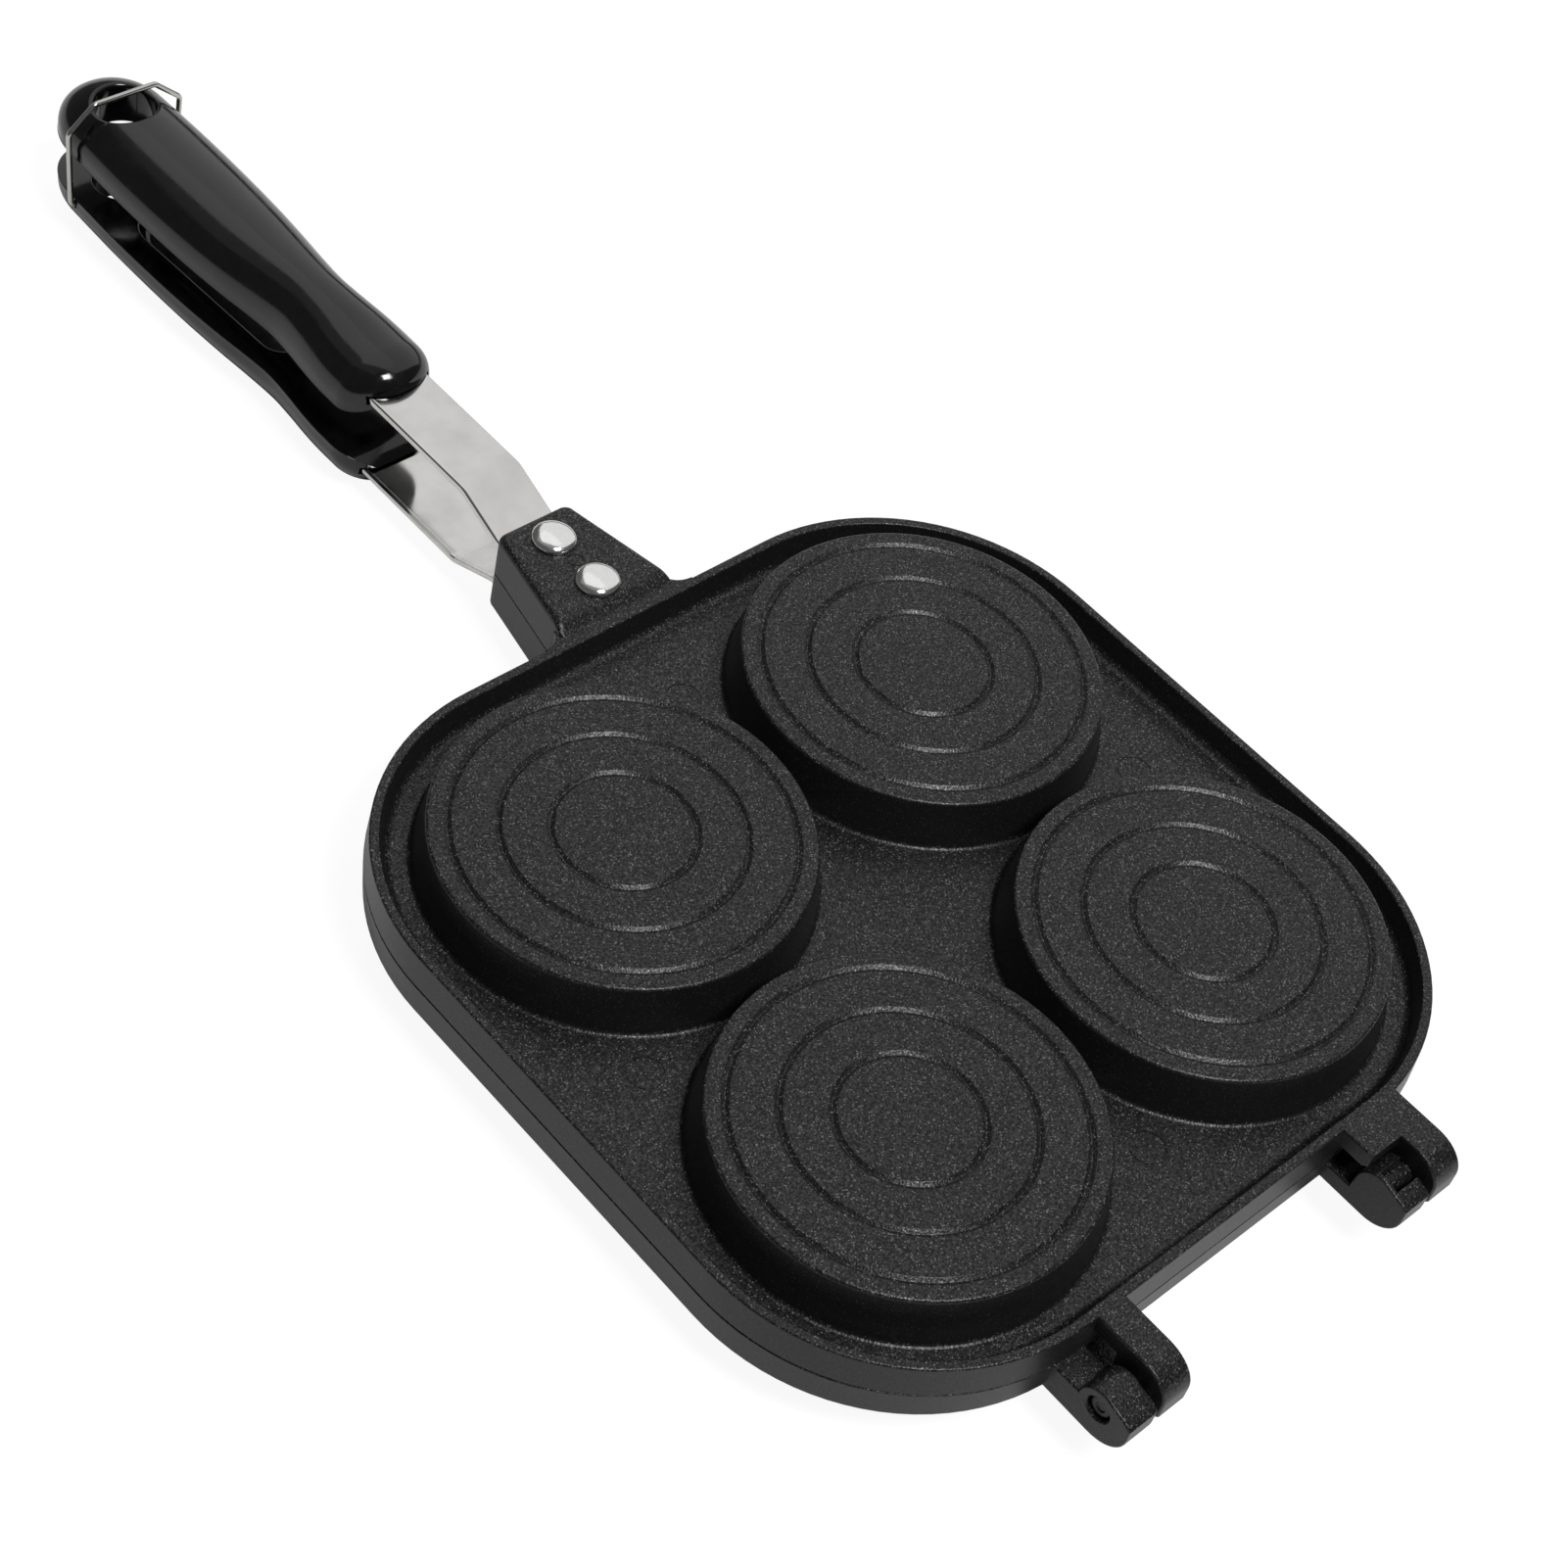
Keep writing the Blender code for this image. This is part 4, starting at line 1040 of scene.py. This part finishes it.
def worn_material(name, tints, gloss, wear, relief, bump, **values):
    """A finish whose colour and gloss follow one noise, with the relief of another."""
    material, tree, place = new_material(name, **values)
    worn = node(tree, "TexNoise", wear, Vector=place)["Fac"]
    tint = node(tree, "ValToRGB", {"stops": tints}, Fac=worn)["Color"]
    rough = node(tree, "ValToRGB", {"stops": gloss}, Fac=worn)["Color"]
    height = worn
    if relief:
        spacing, detail = relief
        scale = {"Scale": [1 / size for size in spacing]}
        spread = node(tree, "Mapping", scale, Vector=place)["Vector"]
        height = node(tree, "TexNoise", {"Scale": 1.0, "Detail": detail}, Vector=spread)["Fac"]
    normal = node(tree, "Bump", bump, Height=height)["Normal"]
    feed_shader(tree, {"Base Color": tint, "Roughness": rough, "Normal": normal})
    return material


# Non-stick coating, applied by spray gun to cast aluminium and baked: a charcoal ground
# whose droplets dried to pebbles about half a millimetre apart, with finer grit between
# them. They stand up on the faces that looked at the spray gun and ran smooth on the steep
# walls. Where they tilt to a lamp they spark. Mica flakes, drawn a little coarser than real
# so that they show, lie flat in it and shine like small mirrors; their pale colour is a
# painted glint, laid only on faces that look up or down.
PEBBLE = 0.46 * MM
PEBBLE_RELIEF = 0.07 * MM
PEBBLE_TONE_LIMITS = (0.38, 0.66)
PEBBLE_SHINE = ((0.36, 0.29), (0.68, 0.74))
GRIT = 0.22 * MM
GRIT_RELIEF = 0.02 * MM
FACING_UP_BY_SLOPE = ((0.25, 0.15), (0.75, 1.0))
FLAKE = 0.24 * MM
FLAKE_SHARE = 0.045
FLAKE_GLOSS = ((0.0, 0.35), (1.0, 0.20))


def coating_material(colours):
    """Sprayed non-stick coating."""
    material, tree, place = new_material("sprayed_nonstick_coating", IOR=1.40)
    facing = node(tree, "SeparateXYZ", Vector=node(tree, "TexCoord")["Normal"])["Z"]
    level = node(tree, "Math", {"operation": "ABSOLUTE"}, Value=facing)[0]
    # Share of a face that looks up or down; it also limits the painted glint specks below to such
    # faces
    facing_up_share = node(tree, "ValToRGB", {"stops": FACING_UP_BY_SLOPE}, Fac=level)["Color"]
    drops = node(tree, "TexNoise", {"Scale": 1 / PEBBLE, "Detail": 0.5}, Vector=place)["Fac"]
    uneven = node(tree, "Math", {"operation": "SUBTRACT", "Value_001": 0.5}, Value=drops)[0]
    raised = {"operation": "MULTIPLY_ADD", "Value_002": 0.5}
    pebble = node(tree, "Math", raised, Value=uneven, Value_001=facing_up_share)[0]
    grit = node(tree, "TexNoise", {"Scale": 1 / GRIT, "Detail": 0.0}, Vector=place)["Fac"]
    cells = node(tree, "TexVoronoi", {"Scale": 1 / FLAKE}, Vector=place)["Color"]
    chance = node(tree, "SeparateColor", Color=cells)["Red"]
    rare = {"operation": "LESS_THAN", "Value_001": FLAKE_SHARE}
    picked = node(tree, "Math", rare, Value=chance)[0]
    # Flakes kept only on faces that look up or down, where their pale colour paints a glint
    flake_glint = node(tree, "Math", {"operation": "MULTIPLY"}, Value=picked, Value_001=facing_up_share)[0]
    tones = zip(PEBBLE_TONE_LIMITS, (colours.coating, colours.coating_light))
    ground = node(tree, "ValToRGB", {"stops": tones}, Fac=pebble)["Color"]
    # Pale speck colour mixed into the ground at the flakes: a painted glint
    painted_glint = {"data_type": "RGBA", "B_Color": (*colours.coating_glint_speck, 1)}
    tint = node(tree, "Mix", painted_glint, Factor_Float=flake_glint, A_Color=ground)[2]
    coarse = node(tree, "Bump", {"Strength": 1.0, "Distance": PEBBLE_RELIEF}, Height=pebble)[0]
    fine = {"Strength": 1.0, "Distance": GRIT_RELIEF}
    feed_shader(tree, {
        "Base Color": tint,
        "Normal": node(tree, "Bump", fine, Height=grit, Normal=coarse)[0],
        "Roughness": node(tree, "ValToRGB", {"stops": FLAKE_GLOSS}, Fac=flake_glint)["Color"],
        "Specular IOR Level": node(tree, "ValToRGB", {"stops": PEBBLE_SHINE}, Fac=pebble)["Color"],
    })
    return material


# Black phenolic resin, moulded in a polished steel tool: a deep gloss over a surface that
# is very slightly wavy, with faint rubbing that dulls it in patches.
WAVE = 14.0 * MM
RUB = 3.0 * MM


def grip_material(colours):
    """Moulded phenolic."""
    return worn_material(
        "moulded_black_phenolic",
        tints=((0.45, colours.grip), (0.75, linear("#121213"))),
        gloss=((0.40, 0.10), (0.75, 0.19)),
        wear={"Scale": 1 / RUB, "Detail": 6.0, "Roughness": 0.65},
        relief=((WAVE, WAVE, WAVE), 1.0),
        bump={"Strength": 0.20, "Distance": 0.15 * MM},
        IOR=1.52,
    )


# Cold-rolled stainless sheet: fine rolling lines along the strap, half a millimetre apart,
# and cloudy patches left by handling.
ROLLING_LINE = 0.5 * MM
ROLLING_LENGTH = 30.0 * MM
CLOUD = 9.0 * MM


def strap_material(colours):
    """Cold-rolled stainless sheet."""
    return worn_material(
        "rolled_stainless_sheet",
        tints=((0.35, colours.strap), (0.75, linear("#cfcdca"))),
        gloss=((0.3, 0.08), (0.8, 0.17)),
        wear={"Scale": 1 / CLOUD, "Detail": 4.0},
        relief=((ROLLING_LINE, ROLLING_LENGTH, ROLLING_LINE), 3.0),
        bump={"Strength": 0.12, "Distance": 0.02 * MM},
        Metallic=1,
    )


# Aluminium rivet heads, set with a polished snap, and bright drawn wire: fine scratches in
# all directions soften the reflections a little and darken the metal in their grain.
SCRATCH = 0.7 * MM
SCRATCHED_TONE = 0.9


def polished_material(name, tone, low, high):
    """Polished metal whose gloss changes in fine scratches."""
    return worn_material(
        name,
        tints=((0.35, tone), (0.70, [value * SCRATCHED_TONE for value in tone])),
        gloss=((0.35, low), (0.75, high)),
        wear={"Scale": 1 / SCRATCH, "Detail": 5.0, "Distortion": 1.5},
        relief=None,
        bump={"Strength": 0.08, "Distance": 0.02 * MM},
        Metallic=1,
    )


def seen_directly(tree):
    """One for rays from the camera, also through glass, else nought."""
    path = node(tree, "LightPath")
    either = {"Value": path["Is Camera Ray"], "Value_001": path["Is Transmission Ray"]}
    return node(tree, "Math", {"operation": "MAXIMUM"}, **either)[0]


# Seamless white paper: matt and faintly uneven. Part of its white is its own light for the
# camera alone, so that it reads as pure white and still keeps a faint shadow.
PAPER = 60.0 * MM
PAPER_OWN_LIGHT = 0.84
PAPER_GLOW = 1.1


def floor_material(colours):
    """White studio paper."""
    material, tree, place = new_material("white_studio_paper", Roughness=0.9)
    tone = node(tree, "TexNoise", {"Scale": 1 / PAPER}, Vector=place)["Fac"]
    tints = ((0.3, colours.floor), (0.7, linear("#f6f6f6")))
    feed_shader(tree, {"Base Color": node(tree, "ValToRGB", {"stops": tints}, Fac=tone)["Color"]})
    own = {"operation": "MULTIPLY", "Value_001": PAPER_OWN_LIGHT}
    share = node(tree, "Math", own, Value=seen_directly(tree))[0]
    paper = tree.nodes["Principled BSDF"].outputs[0]
    glow = node(tree, "Emission", {"Strength": PAPER_GLOW})[0]
    mixed = node(tree, "MixShader", Fac=share, Shader=paper, Shader_001=glow)[0]
    tree.links.new(mixed, tree.nodes["Material Output"].inputs["Surface"])
    return material


def set_world(strength):
    """White studio all round: white to the camera, softer as light."""
    world = bpy.data.worlds.new("studio")
    bpy.context.scene.world = world
    world.use_nodes = True
    tree = world.node_tree
    limits = {"To Min": strength, "To Max": 1.0}
    level = node(tree, "MapRange", limits, Value=seen_directly(tree))[0]
    back = tree.nodes["Background"]
    tree.links.new(level, back.inputs["Strength"])
    back.inputs["Color"].default_value = (1, 1, 1, 1)


def add_lamp(name, power, place, width, height):
    """A softbox that looks at the pan."""
    data = bpy.data.lights.new(name, "AREA")
    data.shape = "RECTANGLE"
    data.size = width
    data.size_y = height
    data.energy = power
    lamp = linked(name, data)
    lamp.location = place
    lamp.rotation_euler = (LAMP_AIM - Vector(place)).to_track_quat("-Z", "Y").to_euler()


def add_camera(stage):
    """The photograph's camera."""
    data = bpy.data.cameras.new("camera")
    data.lens = stage.lens
    data.sensor_width = SENSOR_WIDTH_MM
    data.clip_start = NEAREST_SEEN
    camera = linked("camera", data)
    turn = (
        Matrix.Rotation(stage.azimuth, 3, "Z")
        @ Matrix.Rotation(math.pi / 2 - stage.elevation, 3, "X")
        @ Matrix.Rotation(stage.roll, 3, "Z")
    )
    camera.rotation_euler = turn.to_euler()
    camera.location = Vector(stage.aim) + turn @ Vector((0, 0, stage.distance))
    bpy.context.scene.camera = camera


def finishes(colours):
    """All materials of the pan, made once."""
    if "sprayed_nonstick_coating" not in bpy.data.materials:
        coating_material(colours)
        grip_material(colours)
        strap_material(colours)
        polished_material("snap_polished_aluminium", colours.rivet, 0.10, 0.22)
        polished_material("drawn_bright_steel_wire", colours.wire, 0.14, 0.26)
    return bpy.data.materials


class FRYINGPAN_OT_castings(bpy.types.Operator):
    """Make both cast halves"""

    bl_idname = "frying_pan.castings"
    bl_label = "Castings"

    def execute(self, context):
        mesh = casting_mesh(context.scene.pan_casting, context.scene.pan_hardware)
        return add_to_halves("casting", mesh, "sprayed_nonstick_coating", "pan")


class FRYINGPAN_OT_pins(bpy.types.Operator):
    """Make both hinge pins"""

    bl_idname = "frying_pan.pins"
    bl_label = "Hinge pins"

    def execute(self, context):
        mesh = pin_mesh(context.scene.pan_casting)
        return add_to_halves("pin", mesh, "sprayed_nonstick_coating", "hinge_pin")


class FRYINGPAN_OT_straps(bpy.types.Operator):
    """Make both steel straps"""

    bl_idname = "frying_pan.straps"
    bl_label = "Straps"

    def execute(self, context):
        mesh = strap_mesh(context.scene.pan_casting, context.scene.pan_hardware)
        return add_to_halves("sheet_strap", mesh, "rolled_stainless_sheet", "strap")


class FRYINGPAN_OT_rivets(bpy.types.Operator):
    """Make the four rivets"""

    bl_idname = "frying_pan.rivets"
    bl_label = "Rivets"

    def execute(self, context):
        scene = context.scene
        for half, matrix in HALVES.items():
            for place, y in rivet_places(scene.pan_casting).items():
                add_piece(
                    f"{half}_{place}_rivet", rivet_mesh(scene.pan_hardware, y),
                    "snap_polished_aluminium", f"{half}_half", f"{half}_rivet_{place}", matrix,
                )
        return {"FINISHED"}


class FRYINGPAN_OT_grips(bpy.types.Operator):
    """Make both grips"""

    bl_idname = "frying_pan.grips"
    bl_label = "Grips"

    def execute(self, context):
        scene = context.scene
        for half, matrix in HALVES.items():
            mesh = grip_mesh(
                scene.pan_casting, scene.pan_grip, scene.pan_hardware, half == "lower"
            )
            add_piece(
                f"{half}_moulded_grip", mesh, "moulded_black_phenolic", f"{half}_half",
                f"{half}_grip", matrix,
            )
        return {"FINISHED"}


class FRYINGPAN_OT_lock_wire(bpy.types.Operator):
    """Make the lock wire"""

    bl_idname = "frying_pan.lock_wire"
    bl_label = "Lock wire"

    def execute(self, context):
        mesh = wire_mesh(context.scene.pan_grip, context.scene.pan_hardware)
        place = Matrix.Translation(WIRE_PIVOT)
        add_piece(
            "bent_lock_wire", mesh, "drawn_bright_steel_wire", "lock_wire", "lock_wire", place
        )
        return {"FINISHED"}


class FRYINGPAN_OT_stage(bpy.types.Operator):
    """Set up floor, lamps, world and camera"""

    bl_idname = "frying_pan.stage"
    bl_label = "Stage"

    def execute(self, context):
        scene = context.scene
        stage = scene.pan_stage
        scene.view_settings.view_transform = "Standard"
        bm = bmesh.new()
        bmesh.ops.create_grid(bm, x_segments=4, y_segments=4, size=FLOOR_HALF)
        floor = linked("studio_floor", to_mesh(bm, "studio_floor"))
        floor.data.materials.append(floor_material(scene.pan_finish))
        set_world(stage.sky)
        for side, (place, width, height) in SOFTBOXES.items():
            power = getattr(stage, f"{side}_power")
            add_lamp(f"{side}_softbox", power, place, width, height)
        add_camera(stage)
        return {"FINISHED"}


class FRYINGPAN_PT_panel(bpy.types.Panel):
    """Lists the pieces and the sizes that shape them"""

    bl_idname = "FRYINGPAN_PT_panel"
    bl_label = "Frying pan"
    bl_space_type = "VIEW_3D"
    bl_region_type = "UI"
    bl_category = "Frying pan"

    def draw(self, context):
        for operator in OPERATORS:
            self.layout.operator(operator.bl_idname)
        for name in GROUPS:
            box = self.layout.box()
            group = getattr(context.scene, name)
            for item in group.bl_rna.properties:
                if item.identifier not in ("rna_type", "name"):
                    box.prop(group, item.identifier)


GROUPS = {
    "pan_casting": CastingSizes,
    "pan_hardware": HardwareSizes,
    "pan_grip": GripSizes,
    "pan_finish": FinishColours,
    "pan_stage": StageSettings,
}
OPERATORS = (
    FRYINGPAN_OT_castings,
    FRYINGPAN_OT_pins,
    FRYINGPAN_OT_straps,
    FRYINGPAN_OT_rivets,
    FRYINGPAN_OT_grips,
    FRYINGPAN_OT_lock_wire,
    FRYINGPAN_OT_stage,
)
CLASSES = (*GROUPS.values(), *OPERATORS, FRYINGPAN_PT_panel)


def register():
    """Register the classes and hang their settings on the scene."""
    for kind in CLASSES:
        bpy.utils.register_class(kind)
    for name, group in GROUPS.items():
        setattr(bpy.types.Scene, name, PointerProperty(type=group))


def unregister():
    """Take the settings and the classes away again."""
    for name in GROUPS:
        delattr(bpy.types.Scene, name)
    for kind in reversed(CLASSES):
        bpy.utils.unregister_class(kind)


def main():
    """Make every piece and the stage."""
    register()
    bpy.ops.frying_pan.castings()
    bpy.ops.frying_pan.pins()
    bpy.ops.frying_pan.straps()
    bpy.ops.frying_pan.rivets()
    bpy.ops.frying_pan.grips()
    bpy.ops.frying_pan.lock_wire()
    bpy.ops.frying_pan.stage()


if __name__ == "__main__":
    main()
